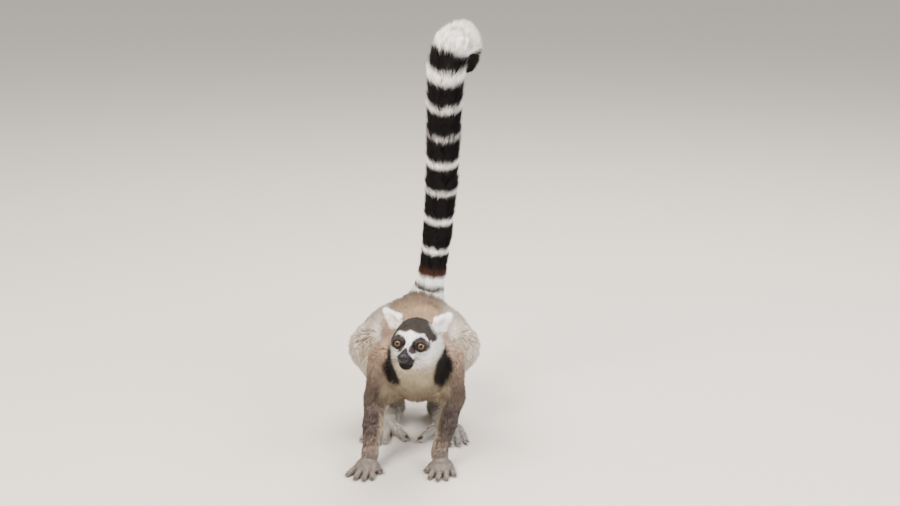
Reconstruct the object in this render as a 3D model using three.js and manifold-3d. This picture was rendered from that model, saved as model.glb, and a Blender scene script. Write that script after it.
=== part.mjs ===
// A ring-tailed lemur, life size, as a still museum model: it crouches on all fours,
// its head is turned a little to its right and its ringed tail stands up and curls over
// behind at the tip. The solids reach to the tips of the coat.
//
// Millimetres, +Z up. It faces -Y and its own left is at +X. The origin is on the floor,
// under the middle of the model's box.
import * as THREE from "three";
import { mergeVertices } from "three/addons/utils/BufferGeometryUtils.js";
import Module from "manifold-3d";

const wasm = await Module();
wasm.setup();

// ---------------------------------------------------------------- driving sizes
// Every joint below is [x, y, z] with the floor at z = 0, and r is the radius over the coat.
const PARTING = 0.2; // each side of a parting plane stands back this far
const EYE = { side: 14.4, forward: 1.5, radius: 8.6, clearance: 0.3 };
const HEAD = { at: [-2.5, -68, 195], pitchUp: 8, yawToRight: 13, rollToLeft: 3.3 }; // degrees
const EAR = { base: [19, 27, 13], rightTip: [-45, 34, 33], leftTip: [39, 34, 37], width: 12.5, thick: 7.5 };
// How far apart the mesh's vertices stand on each piece.
const CELL = {
  head: 8, muzzle: 5.4, ear: 5.2, trunk: 16.6, tailRoot: 14.5, tailBend: 15,
  upperArm: 14.5, forearm: [10, 10, 16], hand: 9.2, thigh: 16, shin: [12, 16, 14], foot: 12,
};

const ARM = { shoulder: 26, elbow: 15.5, midForearm: 13.5, wrist: 11 };
const LEG = { hip: 37, midThigh: 34, knee: 25, calf: 21, ankle: 14.5, heel: 12 };
const DIGIT = { finger: [4, 3.8, 3.3], toe: [4.4, 4.2, 3.6], thumb: [4.6, 4.4, 3.8], bigToe: [7, 6.8, 5.4] };

// The trunk's middle line, with half its width and half its height.
const TRUNK = [
  { at: [2, 22, 144], wide: 31, high: 38 },
  { at: [2, 60, 140], wide: 39, high: 48 },
  { at: [0, 110, 136], wide: 43, high: 50 },
  { at: [-3, 160, 131], wide: 48, high: 51 },
  { at: [-2, 208, 128], wide: 48, high: 52 },
  { at: [3, 246, 128], wide: 38, high: 46 },
];

// The tail's middle line and its radius over the coat: up, leaning forwards, then over behind.
const TAIL = [
  { at: [5, 248, 138], r: 25 },
  { at: [14, 263, 166], r: 22 },
  { at: [20, 266, 195], r: 20 },
  { at: [28, 260, 258], r: 21.5 },
  { at: [34, 248, 330], r: 24 },
  { at: [37, 227, 405], r: 25.5 },
  { at: [39, 203, 478], r: 27 },
  { at: [42, 191, 512], r: 27.5 },
  { at: [49, 192, 533], r: 27.5 },
  { at: [60, 210, 541], r: 26 },
  { at: [67, 232, 529], r: 24 },
  { at: [69, 244, 511], r: 19 },
  { at: [69, 247, 500], r: 12 },
];
const BEND = 7; // the tail is a run of rods from this ball on

// Fingers run from the thumb outwards, toes from the big toe outwards: where each tip rests.
const RIGHT_ARM = {
  shoulder: [-36, 22, 148],
  elbow: [-53, 50, 83],
  wrist: [-59, 8, 23],
  palm: [-62, -4, 9],
  knuckles: [[-54, -1], [-55, -12], [-62, -16], [-70, -14], [-75, -6]],
  tips: [[-44, -14], [-55, -37], [-66, -40], [-77, -36], [-88, -23]],
};
const LEFT_ARM = {
  shoulder: [40, 22, 147],
  elbow: [51, 48, 86],
  wrist: [32, 8, 23],
  palm: [34, -4, 9],
  knuckles: [[26, -1], [26, -12], [33, -16], [41, -14], [46, -6]],
  tips: [[14, -10], [19, -34], [30, -40], [41, -38], [52, -24]],
};
const RIGHT_LEG = {
  hip: [-41, 220, 124],
  thigh: [-62, 172, 115],
  knee: [-42, 126, 86],
  ankle: [-33, 203, 29],
  heel: [-32, 212, 11],
  instep: [-41, 160, 13],
  ball: [-52, 133, 10],
  knuckles: [[-36, 141], [-42, 128], [-50, 124], [-59, 125], [-66, 131]],
  tips: [[-14, 103], [-43, 93], [-54, 87], [-66, 90], [-76, 101]],
};
const LEFT_LEG = {
  hip: [35, 220, 124],
  thigh: [54, 172, 115],
  knee: [31, 126, 86],
  ankle: [27, 203, 29],
  heel: [26, 212, 11],
  instep: [35, 158, 13],
  ball: [45, 130, 10],
  knuckles: [[30, 140], [36, 127], [44, 123], [53, 124], [59, 131]],
  tips: [[5, 98], [36, 90], [47, 82], [59, 83], [69, 93]],
};

// Coat colours of the nodes.
const FINISH = {
  back: { color: "#8d7a6c", roughness: 0.9 },
  limb: { color: "#8b857f", roughness: 0.9 },
  pale: { color: "#d9d3c8", roughness: 0.9 },
  cap: { color: "#cfc9c0", roughness: 0.9 },
  dark: { color: "#2b2624", roughness: 0.7 },
  ringed: { color: "#7b7672", roughness: 0.95 },
  iris: { color: "#b5651d", roughness: 0.15 },
};

// ---------------------------------------------------------------- shape fields
// A field gives a point's distance outside a shape, in millimetres, negative inside it.

/** The smaller of two distances, with the crease between the shapes filled over k mm. */
function blend(a, b, k) {
  const near = Math.max(k - Math.abs(a - b), 0) / k;
  return Math.min(a, b) - (near * near * k) / 4;
}

/** A rod between two balls: a and b are { at, r }. */
function rod(x, y, z, a, b) {
  const [ax, ay, az] = a.at;
  const [dx, dy, dz] = [b.at[0] - ax, b.at[1] - ay, b.at[2] - az];
  const along = ((x - ax) * dx + (y - ay) * dy + (z - az) * dz) / (dx * dx + dy * dy + dz * dz);
  const t = Math.min(Math.max(along, 0), 1);
  return Math.hypot(x - ax - t * dx, y - ay - t * dy, z - az - t * dz) - a.r - t * (b.r - a.r);
}

/** Rods end to end through balls, blended over k mm. */
function rods(balls, k = 6) {
  return (x, y, z) => {
    let d = rod(x, y, z, balls[0], balls[1]);
    for (let i = 1; i < balls.length - 1; i++) d = blend(d, rod(x, y, z, balls[i], balls[i + 1]), k);
    return d;
  };
}

/** An egg with three half sizes. */
function egg([cx, cy, cz], [rx, ry, rz]) {
  return (x, y, z) => {
    const [u, v, w] = [(x - cx) / rx, (y - cy) / ry, (z - cz) / rz];
    const k0 = Math.hypot(u, v, w);
    const k1 = Math.hypot(u / rx, v / ry, w / rz);
    return k1 < 1e-9 ? -Math.min(rx, ry, rz) : (k0 * (k0 - 1)) / k1;
  };
}

const ball = (at, r) => ({ at, r });

/** The trunk is a run of rods whose sections are squeezed to their own width. */
function trunkField() {
  const parts = TRUNK.map(({ at, wide, high }) => ({ at, r: high, squeeze: high / wide }));
  return (x, y, z) => {
    let d = Infinity;
    for (let i = 0; i < parts.length - 1; i++) {
      const [a, b] = [parts[i], parts[i + 1]];
      const t = Math.min(Math.max((y - a.at[1]) / (b.at[1] - a.at[1]), 0), 1);
      const squeeze = a.squeeze + t * (b.squeeze - a.squeeze);
      const middle = a.at[0] + t * (b.at[0] - a.at[0]);
      const part = rod(middle + (x - middle) * squeeze, y, z, a, b) / Math.max(squeeze, 1);
      d = i ? blend(d, part, 8) : part;
    }
    return d;
  };
}

// ---------------------------------------------------------------- the head
// In the head's own frame the origin is midway between the eyes, and it looks along -Y.
const headPose = new THREE.Matrix4().compose(
  new THREE.Vector3(...HEAD.at),
  new THREE.Quaternion()
    .setFromAxisAngle(new THREE.Vector3(0, 0, 1), THREE.MathUtils.degToRad(-HEAD.yawToRight))
    .multiply(new THREE.Quaternion().setFromAxisAngle(new THREE.Vector3(1, 0, 0), THREE.MathUtils.degToRad(-HEAD.pitchUp)))
    .multiply(new THREE.Quaternion().setFromAxisAngle(new THREE.Vector3(0, 1, 0), THREE.MathUtils.degToRad(HEAD.rollToLeft))),
  new THREE.Vector3(1, 1, 1),
);
const intoHead = headPose.clone().invert();

/** A field given in the head's frame, read at a point of the model. */
function onHead(field) {
  const m = intoHead.elements;
  return (x, y, z) =>
    field(
      m[0] * x + m[4] * y + m[8] * z + m[12],
      m[1] * x + m[5] * y + m[9] * z + m[13],
      m[2] * x + m[6] * y + m[10] * z + m[14],
    );
}

const eyeSpots = [
  [-EYE.side, -EYE.forward, 0],
  [EYE.side, -EYE.forward, 0],
];

/** Skull, brow, muzzle, jaw and the full cheeks, with a hollow round each eye. */
function headField() {
  const skull = egg([0, 23, 6], [25.5, 31, 25]);
  const brow = egg([0, 5, 7], [22.5, 16, 16]);
  const ridges = eyeSpots.map(([x]) => egg([x * 0.95, -1, 8.5], [9, 8, 5.5]));
  const cheekBones = eyeSpots.map(([x]) => egg([x * 1.02, 1, -9], [8, 11, 7.5]));
  const muzzle = rods([ball([0, 0, -6], 14.5), ball([0, -20, -10.5], 10), ball([0, -32, -13], 7.6)]);
  const lips = rods([ball([0, -12, -17], 9), ball([0, -27, -18], 7)]);
  const jaw = rods([ball([0, 8, -20], 12), ball([0, -12, -22], 8), ball([0, -24, -22.5], 5.5)]);
  const cheeks = eyeSpots.map(([x]) => egg([Math.sign(x) * 13.5, 20, -8], [12, 21, 17]));
  const hollows = eyeSpots.map(([x, y, z]) => egg([x, y - 7, z], [9.5, 6.5, 9]));
  return (x, y, z) => {
    let d = blend(skull(x, y, z), brow(x, y, z), 8);
    for (const part of [...cheeks, muzzle]) d = blend(d, part(x, y, z), 9);
    for (const part of [lips, jaw]) d = blend(d, part(x, y, z), 5);
    for (const part of [...ridges, ...cheekBones]) d = blend(d, part(x, y, z), 5);
    for (const part of hollows) d = -blend(-d, part(x, y, z), 4);
    return d;
  };
}

/** An ear: a thick leaf that stands out, up and back from the head, hollow in front. */
function earField(side) {
  const base = new THREE.Vector3(side * EAR.base[0], EAR.base[1], EAR.base[2]);
  const tip = new THREE.Vector3(...(side < 0 ? EAR.rightTip : EAR.leftTip));
  const up = tip.clone().sub(base).normalize();
  const out = new THREE.Vector3(side * 0.35, -0.9, 0.2); // where its hollow faces
  const front = out.addScaledVector(up, -out.dot(up)).normalize();
  const across = new THREE.Vector3().crossVectors(up, front);
  const middle = base.clone().lerp(tip, 0.46);
  const half = base.distanceTo(tip) * 0.56;
  const shell = egg([0, 0, 0], [EAR.width, half, EAR.thick]);
  const bowl = egg([0, 1, 8], [EAR.width - 4.5, half * 0.75, 6.5]);
  const p = new THREE.Vector3();
  return (x, y, z) => {
    p.set(x, y, z).sub(middle);
    const [u, v, w] = [p.dot(across), p.dot(up), p.dot(front)];
    const narrow = 1 + Math.max(v + 7, 0) / (half * 1.05); // the leaf draws in to a point
    return -blend(-shell(u * narrow, v, w), bowl(u * narrow, v, w), 3);
  };
}

// ---------------------------------------------------------------- the whole coat
const tailCurve = new THREE.CatmullRomCurve3(TAIL.map(({ at }) => new THREE.Vector3(...at)), false, "centripetal");

/** The tail's radius at t from 0 to 1 along its control points. */
function tailRadius(t) {
  const s = t * (TAIL.length - 1);
  const i = Math.min(Math.floor(s), TAIL.length - 2);
  return THREE.MathUtils.lerp(TAIL[i].r, TAIL[i + 1].r, s - i);
}

function armBalls({ shoulder, elbow, wrist }) {
  const middle = elbow.map((e, i) => (e + wrist[i]) / 2);
  return {
    upper: [ball(shoulder, ARM.shoulder), ball(elbow, ARM.elbow)],
    fore: [ball(elbow, ARM.elbow), ball(middle, ARM.midForearm), ball(wrist, ARM.wrist)],
  };
}

/** Wrist to palm, with the palm broad and low. */
function palmField({ wrist, palm }) {
  const pad = egg([palm[0], palm[1] - 3, 9], [16.5, 19, 10]);
  const heel = rods([ball(wrist, ARM.wrist), ball([palm[0], palm[1] + 6, 10], 9.5)]);
  return (x, y, z) => blend(pad(x, y, z), heel(x, y, z), 8);
}

/** Heel, instep and ball of the foot, and the mound of the big toe. */
function soleField({ ankle, heel, instep, ball: front, knuckles }) {
  const sole = rods([ball(ankle, LEG.ankle), ball(heel, LEG.heel), ball(instep, 13), ball(front, 11.5)]);
  const pad = egg([front[0], front[1] - 3, 9], [18.5, 16, 10]);
  const mound = rods([ball([front[0], front[1] + 20, 10], 10), ball([...knuckles[0], 8.5], 9)]);
  return (x, y, z) => blend(blend(sole(x, y, z), pad(x, y, z), 8), mound(x, y, z), 6);
}

const trunk = trunkField();
const neck = rods([ball([3, -34, 178], 32), ball([2, 22, 150], 38)], 10);
const ruff = rods([ball([26, -37, 191], 13), ball([22, -8, 158], 17)]); // fuller on the side it turns from
const throat = rods([ball([-6, -50, 165], 19), ball([3, 10, 121], 27), ball([1, 60, 115], 30)], 10);
const withers = egg([1, 52, 160], [34, 42, 29]);
const head = onHead(headField());
const tailRoot = rods(TAIL.slice(0, 4), 10);
const arms = [RIGHT_ARM, LEFT_ARM].map((arm) => {
  const { upper, fore } = armBalls(arm);
  return { upper: rods(upper), fore: rods(fore), palm: palmField(arm) };
});
const legs = [RIGHT_LEG, LEFT_LEG].map((leg) => ({
  thigh: rods([ball(leg.hip, LEG.hip), ball(leg.thigh, LEG.midThigh), ball(leg.knee, LEG.knee)], 10),
  shin: rods([ball(leg.knee, LEG.knee), ball(leg.knee.map((k, i) => k * 0.55 + leg.ankle[i] * 0.45), LEG.calf), ball(leg.ankle, LEG.ankle)]),
  sole: soleField(leg),
}));

/** The lemur over its coat, less its ears, digits and the tail above its root. */
function coat(x, y, z) {
  let d = blend(trunk(x, y, z), withers(x, y, z), 14);
  d = blend(d, neck(x, y, z), 16);
  d = blend(d, throat(x, y, z), 14);
  d = blend(blend(d, ruff(x, y, z), 10), head(x, y, z), 9);
  d = blend(d, tailRoot(x, y, z), 16);
  for (const { upper, fore, palm } of arms) {
    d = blend(d, upper(x, y, z), 14);
    d = blend(d, blend(fore(x, y, z), palm(x, y, z), 5), 8);
  }
  for (const { thigh, shin, sole } of legs) {
    d = blend(d, thigh(x, y, z), 18);
    d = blend(d, blend(shin(x, y, z), sole(x, y, z), 6), 5);
  }
  return d;
}

// ---------------------------------------------------------------- meshes and solids

/**
 * The surface of a field inside a box, as a closed mesh: one vertex in each cell that the
 * surface crosses, pulled on to the surface, and one four-sided face round each crossed edge.
 */
function surface(field, lo, hi, cell) {
  const cells = Array.isArray(cell) ? cell : [cell, cell, cell];
  const n = lo.map((l, i) => Math.ceil((hi[i] - l) / cells[i]) + 2);
  const at = (i, axis) => lo[axis] + (i - 1) * cells[axis];
  const stride = [1, n[0] + 1, (n[0] + 1) * (n[1] + 1)];
  const value = new Float64Array((n[0] + 1) * (n[1] + 1) * (n[2] + 1));
  for (let k = 0; k <= n[2]; k++)
    for (let j = 0; j <= n[1]; j++)
      for (let i = 0; i <= n[0]; i++) {
        const rim = i === 0 || j === 0 || k === 0 || i === n[0] || j === n[1] || k === n[2];
        value[i + j * stride[1] + k * stride[2]] = rim ? 1 : field(at(i, 0), at(j, 1), at(k, 2)) || 1e-9;
      }
  fillPinches(value, stride);
  const corners = [0, 1, 2, 3, 4, 5, 6, 7].map((c) => [c & 1, (c >> 1) & 1, c >> 2]);
  const edges = [];
  corners.forEach((a, i) => [1, 2, 4].forEach((bit) => i & bit || edges.push([i, i | bit])));
  const vertexOf = new Map();
  const position = [];
  for (let k = 0; k < n[2]; k++)
    for (let j = 0; j < n[1]; j++)
      for (let i = 0; i < n[0]; i++) {
        const base = i + j * stride[1] + k * stride[2];
        const v = corners.map(([a, b, c]) => value[base + a + b * stride[1] + c * stride[2]]);
        if (v.every((d) => d > 0) || v.every((d) => d < 0)) continue;
        const sum = [0, 0, 0];
        let crossed = 0;
        for (const [a, b] of edges) {
          if (v[a] > 0 === v[b] > 0) continue;
          const t = v[a] / (v[a] - v[b]);
          sum.forEach((_, axis) => (sum[axis] += corners[a][axis] + t * (corners[b][axis] - corners[a][axis])));
          crossed++;
        }
        vertexOf.set(base, position.length / 3);
        const cellAt = [i, j, k];
        position.push(...sum.map((s, axis) => at(cellAt[axis], axis) + (s / crossed) * cells[axis]));
      }
  const index = [];
  for (const base of vertexOf.keys())
    for (let axis = 0; axis < 3; axis++) {
      const [a, b] = [value[base], value[base + stride[axis]]];
      if (a > 0 === b > 0) continue;
      const [u, w] = [stride[(axis + 1) % 3], stride[(axis + 2) % 3]];
      const quad = [base, base - u, base - u - w, base - w].map((c) => vertexOf.get(c));
      if (quad.includes(undefined)) continue;
      if (a > 0) quad.reverse();
      index.push(...splitQuad(quad, position));
    }
  const geometry = new THREE.BufferGeometry();
  geometry.setAttribute("position", new THREE.Float32BufferAttribute(position, 3));
  geometry.setIndex(index);
  return geometry;
}

/** Where a cell's face is in, out, in, out by turns, the surface would touch itself: fill one corner. */
function fillPinches(value, stride) {
  for (let found = true; found; ) {
    found = false;
    for (let base = 0; base < value.length - stride[2] - stride[1] - 1; base++)
      for (const [u, w] of [[stride[0], stride[1]], [stride[1], stride[2]], [stride[2], stride[0]]]) {
        const face = [base, base + u, base + u + w, base + w];
        const outside = face.filter((c) => value[c] > 0);
        if (outside.length !== 2 || (face.indexOf(outside[1]) - face.indexOf(outside[0])) % 2) continue;
        const nearer = value[outside[0]] < value[outside[1]] ? outside[0] : outside[1];
        value[nearer] = -0.1;
        found = true;
      }
  }
}

/** Two triangles of a four-sided face, parted along its shorter diagonal. */
function splitQuad([a, b, c, d], position) {
  const span = (p, q) => Math.hypot(...[0, 1, 2].map((i) => position[3 * p + i] - position[3 * q + i]));
  return span(a, c) <= span(b, d) ? [a, b, c, a, c, d] : [a, b, d, b, c, d];
}

/** A closed tube along a curve, from t0 to t1, round, with flat ends or a rounded last end. */
function tube(curve, radiusAt, t0, t1, rings, sides, roundEnd = false) {
  const position = [];
  const index = [];
  const side = new THREE.Vector3();
  const up = new THREE.Vector3();
  const previous = new THREE.Vector3(1, 0, 0);
  const ring = (centre, tangent, r) => {
    side.copy(previous).addScaledVector(tangent, -previous.dot(tangent)).normalize();
    previous.copy(side);
    up.crossVectors(tangent, side);
    for (let i = 0; i < sides; i++) {
      const a = (2 * Math.PI * i) / sides;
      const p = centre.clone().addScaledVector(side, r * Math.cos(a)).addScaledVector(up, r * Math.sin(a));
      position.push(p.x, p.y, p.z);
    }
  };
  for (let i = 0; i <= rings; i++) {
    const t = t0 + ((t1 - t0) * i) / rings;
    ring(curve.getPoint(t), curve.getTangent(t), radiusAt(t));
  }
  let count = rings + 1;
  const [last, heading, r] = [curve.getPoint(t1), curve.getTangent(t1), radiusAt(t1)];
  if (roundEnd) {
    const tilt = Math.PI / 4;
    ring(last.clone().addScaledVector(heading, r * Math.sin(tilt)), heading, r * Math.cos(tilt));
    count++;
    last.addScaledVector(heading, r);
  }
  for (let i = 0; i < count - 1; i++)
    for (let j = 0; j < sides; j++) {
      const [a, b] = [i * sides + j, i * sides + ((j + 1) % sides)];
      index.push(a, b, a + sides, b, b + sides, a + sides);
    }
  const first = curve.getPoint(t0);
  position.push(first.x, first.y, first.z, last.x, last.y, last.z);
  const [start, end] = [count * sides, count * sides + 1];
  for (let j = 0; j < sides; j++) {
    const k = (j + 1) % sides;
    index.push(start, k, j, end, (count - 1) * sides + j, (count - 1) * sides + k);
  }
  const geometry = new THREE.BufferGeometry();
  geometry.setAttribute("position", new THREE.Float32BufferAttribute(position, 3));
  geometry.setIndex(index);
  return geometry;
}

/** A three.js geometry as a solid. */
function solid(geometry) {
  const bare = geometry.clone();
  bare.deleteAttribute("normal");
  bare.deleteAttribute("uv");
  const merged = mergeVertices(bare, 1e-3);
  return new wasm.Manifold(
    new wasm.Mesh({
      numProp: 3,
      vertProperties: merged.attributes.position.array,
      triVerts: new Uint32Array(merged.index.array),
    }),
  );
}

/** The biggest body of a solid, without crumbs that a cut left. */
function biggest(made) {
  return made.decompose().reduce((a, b) => (b.volume() > a.volume() ? b : a));
}

/** All space on one side of a plane, as a large block that stands back from it. */
function sideOf(point, normal) {
  const size = 1500;
  const n = new THREE.Vector3(...normal).normalize();
  const block = new THREE.BoxGeometry(size, size, size);
  block.applyQuaternion(new THREE.Quaternion().setFromUnitVectors(new THREE.Vector3(0, 0, 1), n));
  block.translate(...n.clone().multiplyScalar(size / 2 + PARTING).add(new THREE.Vector3(...point)).toArray());
  return solid(block);
}

/** What is inside every one of these sides. Each is [point, normal] and keeps what its normal points to. */
function keep(made, ...sides) {
  return sides.reduce((left, [point, normal]) => left.intersect(sideOf(point, normal)), made);
}

const flip = ([point, normal]) => [point, normal.map((c) => -c)];
const aboveFloor = [[0, 0, -PARTING], [0, 0, 1]];

/** A finger or toe: from its knuckle, arched a little, to a tip that rests on the floor. */
function digit([kx, ky], [tx, ty], radii, knuckleHeight) {
  const [r0, r1, r2] = radii;
  const curve = new THREE.CatmullRomCurve3([
    new THREE.Vector3(kx, ky, knuckleHeight),
    new THREE.Vector3(kx * 0.5 + tx * 0.5, ky * 0.5 + ty * 0.5, r1 + 3.2),
    new THREE.Vector3(tx, ty, r2 - 0.5),
  ]);
  const reach = curve.getLength();
  const radiusAt = (t) => (t < 0.5 ? THREE.MathUtils.lerp(r0, r1, t * 2) : THREE.MathUtils.lerp(r1, r2, t * 2 - 1));
  return solid(tube(curve, radiusAt, 0, 1 - r2 / reach, 2, 6, true));
}

// ---------------------------------------------------------------- parting planes
const headSide = (at, normal) => [
  new THREE.Vector3(...at).applyMatrix4(headPose).toArray(),
  new THREE.Vector3(...normal).transformDirection(headPose).toArray(),
];
const CUT = {
  muzzle: headSide([0, -11, 0], [0, -1, -0.25]), // ahead of it is muzzle
  nose: headSide([0, -35, -10], [0, -1, 0.35]), // ahead of it is the bare nose
  skull: headSide([0, 34, -14], [0, -0.82, 0.57]), // ahead of it is head, behind is neck
  neck: [[0, 4, 150], [0, -0.9, 0.3]], // ahead of it is neck, behind is chest
  waist: [[0, 96, 130], [0, 1, 0.12]], // behind it is belly
  loin: [[0, 178, 130], [0, 1, -0.1]], // behind it is rump
  rightArm: [[-33, 40, 140], [-1, 0, -0.16]],
  leftArm: [[37, 40, 140], [1, 0, -0.16]],
  rightThigh: [[-41, 160, 120], [-1, 0, 0.1]],
  leftThigh: [[36, 160, 120], [1, 0, 0.1]],
  knees: [[0, 140, 77.5], [0, 0, -1]], // below it are shins
  tail: [[14, 263, 164], [0.25, 0.35, 0.9]], // above it is tail
};
const limbCut = (at, from, to) => [at, to.map((c, i) => c - from[i])];

// ---------------------------------------------------------------- the named pieces
const lemur = new THREE.Group();

function add(name, finish, made) {
  const { numProp, numVert, vertProperties, triVerts } = biggest(made).getMesh();
  const position = new Float32Array(numVert * 3);
  for (let i = 0; i < numVert; i++) position.set(vertProperties.subarray(i * numProp, i * numProp + 3), i * 3);
  const geometry = new THREE.BufferGeometry();
  geometry.setAttribute("position", new THREE.BufferAttribute(position, 3));
  geometry.setIndex(new THREE.BufferAttribute(new Uint32Array(triVerts), 1));
  geometry.computeVertexNormals();
  const mesh = new THREE.Mesh(geometry, new THREE.MeshStandardMaterial({ ...FINISH[finish], metalness: 0 }));
  mesh.name = name;
  lemur.add(mesh);
}

/** Head, muzzle, nose, eyes and ears. */
function buildHead() {
  const near = headPose.elements.slice(12, 15);
  const [lo, hi] = [near.map((c, i) => c - [48, 60, 48][i]), near.map((c, i) => c + [48, 78, 48][i])];
  const whole = solid(surface(coat, lo, hi, CELL.head));
  const fine = solid(surface(coat, lo, hi, CELL.muzzle));
  const eyes = eyeSpots.map((spot) => new THREE.Vector3(...spot).applyMatrix4(headPose));
  const earAt = (side) => {
    const field = onHead(earField(side));
    const lowest = new THREE.Vector3(side * 20 - 30, -5, 0).applyMatrix4(headPose).toArray();
    return solid(surface(field, lowest.map((c) => c - 30), lowest.map((c) => c + 90), CELL.ear));
  };
  const socket = (centre) => {
    const hole = new THREE.SphereGeometry(EYE.radius + EYE.clearance, 12, 8);
    hole.rotateX(Math.PI / 2).translate(...centre.toArray());
    return solid(hole);
  };
  let skull = keep(whole, CUT.skull, flip(CUT.muzzle));
  const ears = [-1, 1].map(earAt);
  const [right, left] = ears.map((ear) => biggest(ear.subtract(grown(skull))));
  for (const centre of eyes) skull = skull.subtract(socket(centre));
  let muzzle = keep(fine, CUT.muzzle, flip(CUT.nose));
  for (const centre of eyes) muzzle = muzzle.subtract(socket(centre));
  add("head", "cap", skull);
  add("muzzle", "dark", muzzle);
  add("nose", "dark", keep(fine, CUT.nose));
  add("ear_right", "pale", right);
  add("ear_left", "pale", left);
  ["eye_right", "eye_left"].forEach((name, i) => {
    const eye = new THREE.SphereGeometry(EYE.radius, 12, 8);
    eye.rotateX(Math.PI / 2).translate(...eyes[i].toArray());
    add(name, "iris", solid(eye));
  });
}

/** The head solid grown by the parting gap, so that an ear cut by it stands clear. */
function grown(made) {
  const near = headPose.elements.slice(12, 15);
  const lo = near.map((c, i) => c - [48, 60, 48][i]);
  const hi = near.map((c, i) => c + [48, 78, 48][i]);
  return made.add(solid(surface((x, y, z) => coat(x, y, z) - 3 * PARTING, lo, hi, CELL.head)));
}

/** Neck, chest, belly and rump, which the limbs and the tail leave. */
function buildTrunk() {
  const [lo, hi] = [[-110, -75, 60], [110, 300, 235]];
  const whole = solid(surface(coat, lo, hi, CELL.trunk));
  const body = keep(whole, flip(CUT.knees));
  add("neck", "pale", keep(body, CUT.neck, flip(CUT.skull)));
  const chest = keep(body, flip(CUT.neck), flip(CUT.waist), flip(CUT.rightArm), flip(CUT.leftArm));
  add("chest", "back", chest);
  const middle = keep(body, CUT.waist, flip(CUT.rightThigh), flip(CUT.leftThigh));
  add("belly", "pale", keep(middle, flip(CUT.loin)));
  add("rump", "back", keep(middle, CUT.loin, flip(CUT.tail)));
}

/** The tail in a few lengths: its root from the coat, the rest as tubes. */
function buildTail() {
  const lengths = TAIL.length - 1;
  const planeAt = (i) => [TAIL[i].at, tailCurve.getTangent(i / lengths).toArray()];
  const root = solid(surface(coat, [-40, 215, 110], [75, 310, 250], CELL.tailRoot));
  add("tail_root", "ringed", keep(root, CUT.tail, flip(planeAt(3))));
  const straight = solid(tube(tailCurve, tailRadius, 2.8 / lengths, (BEND + 0.2) / lengths, 11, 12));
  add("tail_lower", "ringed", keep(straight, planeAt(3), flip(planeAt(5))));
  add("tail_upper", "ringed", keep(straight, planeAt(5), flip(planeAt(BEND))));
  const run = (first, last) => solid(surface(rods(TAIL.slice(first, last), 4), [-5, 150, 440], [120, 285, 590], CELL.tailBend));
  add("tail_bend", "ringed", keep(run(BEND - 1, BEND + 5), planeAt(BEND), flip(planeAt(BEND + 3))));
  add("tail_tip", "ringed", keep(run(BEND + 2), planeAt(BEND + 3)));
}

/** One arm: upper arm, forearm and a hand with its five fingers. */
function buildArm(side, arm, cut) {
  const away = arm.elbow[0] < 0 ? -1 : 1;
  const bounds = (x0, x1) => (away < 0 ? [-x1, -x0] : [x0, x1]);
  const [x0, x1] = bounds(18, 92);
  const elbowCut = limbCut(arm.elbow, arm.shoulder, arm.wrist);
  const wristCut = limbCut(arm.wrist, arm.elbow, [arm.palm[0], arm.palm[1] + 8, 0]);
  const upper = solid(surface(coat, [x0, -25, 60], [x1, 105, 190], CELL.upperArm));
  add(`upper_arm_${side}`, "back", keep(upper, cut, flip(CUT.waist), flip(elbowCut), flip(CUT.neck)));
  const [f0, f1] = bounds(10, 92);
  const { fore } = armBalls(arm);
  const limb = arms[away < 0 ? 0 : 1];
  const lower = (x, y, z) => blend(blend(limb.fore(x, y, z), limb.palm(x, y, z), 5), limb.upper(x, y, z), 10);
  const foreMesh = solid(surface(lower, [f0, -35, 8], [f1, 90, 120], CELL.forearm));
  add(`forearm_${side}`, "limb", keep(foreMesh, elbowCut, flip(wristCut)));
  let hand = solid(surface(lower, [f0, -40, -8], [f1, 40, 45], CELL.hand));
  const low = arm.palm[2];
  arm.knuckles.forEach((knuckle, i) => {
    hand = hand.add(digit(knuckle, arm.tips[i], i ? DIGIT.finger : DIGIT.thumb, low - 1));
  });
  add(`hand_${side}`, "limb", keep(hand, wristCut, aboveFloor));
  return fore;
}

/** One leg: thigh, shin and a long foot with its five toes. */
function buildLeg(side, leg, cut) {
  const away = leg.knee[0] < 0 ? -1 : 1;
  const bounds = (x0, x1) => (away < 0 ? [-x1, -x0] : [x0, x1]);
  const [x0, x1] = bounds(22, 112);
  const ankleCut = [[leg.ankle[0], leg.ankle[1], 22], [0, -0.3, -1]];
  const thigh = solid(surface(coat, [x0, 80, 60], [x1, 275, 175], CELL.thigh));
  add(`thigh_${side}`, "limb", keep(thigh, cut, CUT.waist, flip(CUT.knees), flip(CUT.tail)));
  const [s0, s1] = bounds(15, 95);
  const limb = legs[away < 0 ? 0 : 1];
  const lower = (x, y, z) => blend(limb.shin(x, y, z), limb.sole(x, y, z), 6);
  const shin = solid(surface(lower, [s0, 85, 8], [s1, 235, 110], CELL.shin));
  add(`shin_${side}`, "limb", keep(shin, CUT.knees, flip(ankleCut)));
  let foot = solid(surface(lower, [s0, 85, -8], [s1, 235, 60], CELL.foot));
  leg.knuckles.forEach((knuckle, i) => {
    foot = foot.add(digit(knuckle, leg.tips[i], i ? DIGIT.toe : DIGIT.bigToe, i ? 8 : 8.5));
  });
  add(`foot_${side}`, "limb", keep(foot, ankleCut, aboveFloor));
}

buildHead();
buildTrunk();
buildTail();
buildArm("right", RIGHT_ARM, CUT.rightArm);
buildArm("left", LEFT_ARM, CUT.leftArm);
buildLeg("right", RIGHT_LEG, CUT.rightThigh);
buildLeg("left", LEFT_LEG, CUT.leftThigh);

// The origin goes under the middle of the model's box.
const box = new THREE.Box3().setFromObject(lemur);
const centre = box.getCenter(new THREE.Vector3());
for (const mesh of lemur.children) mesh.geometry.translate(-centre.x, -centre.y, -box.min.z);

export default lemur;
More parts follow.
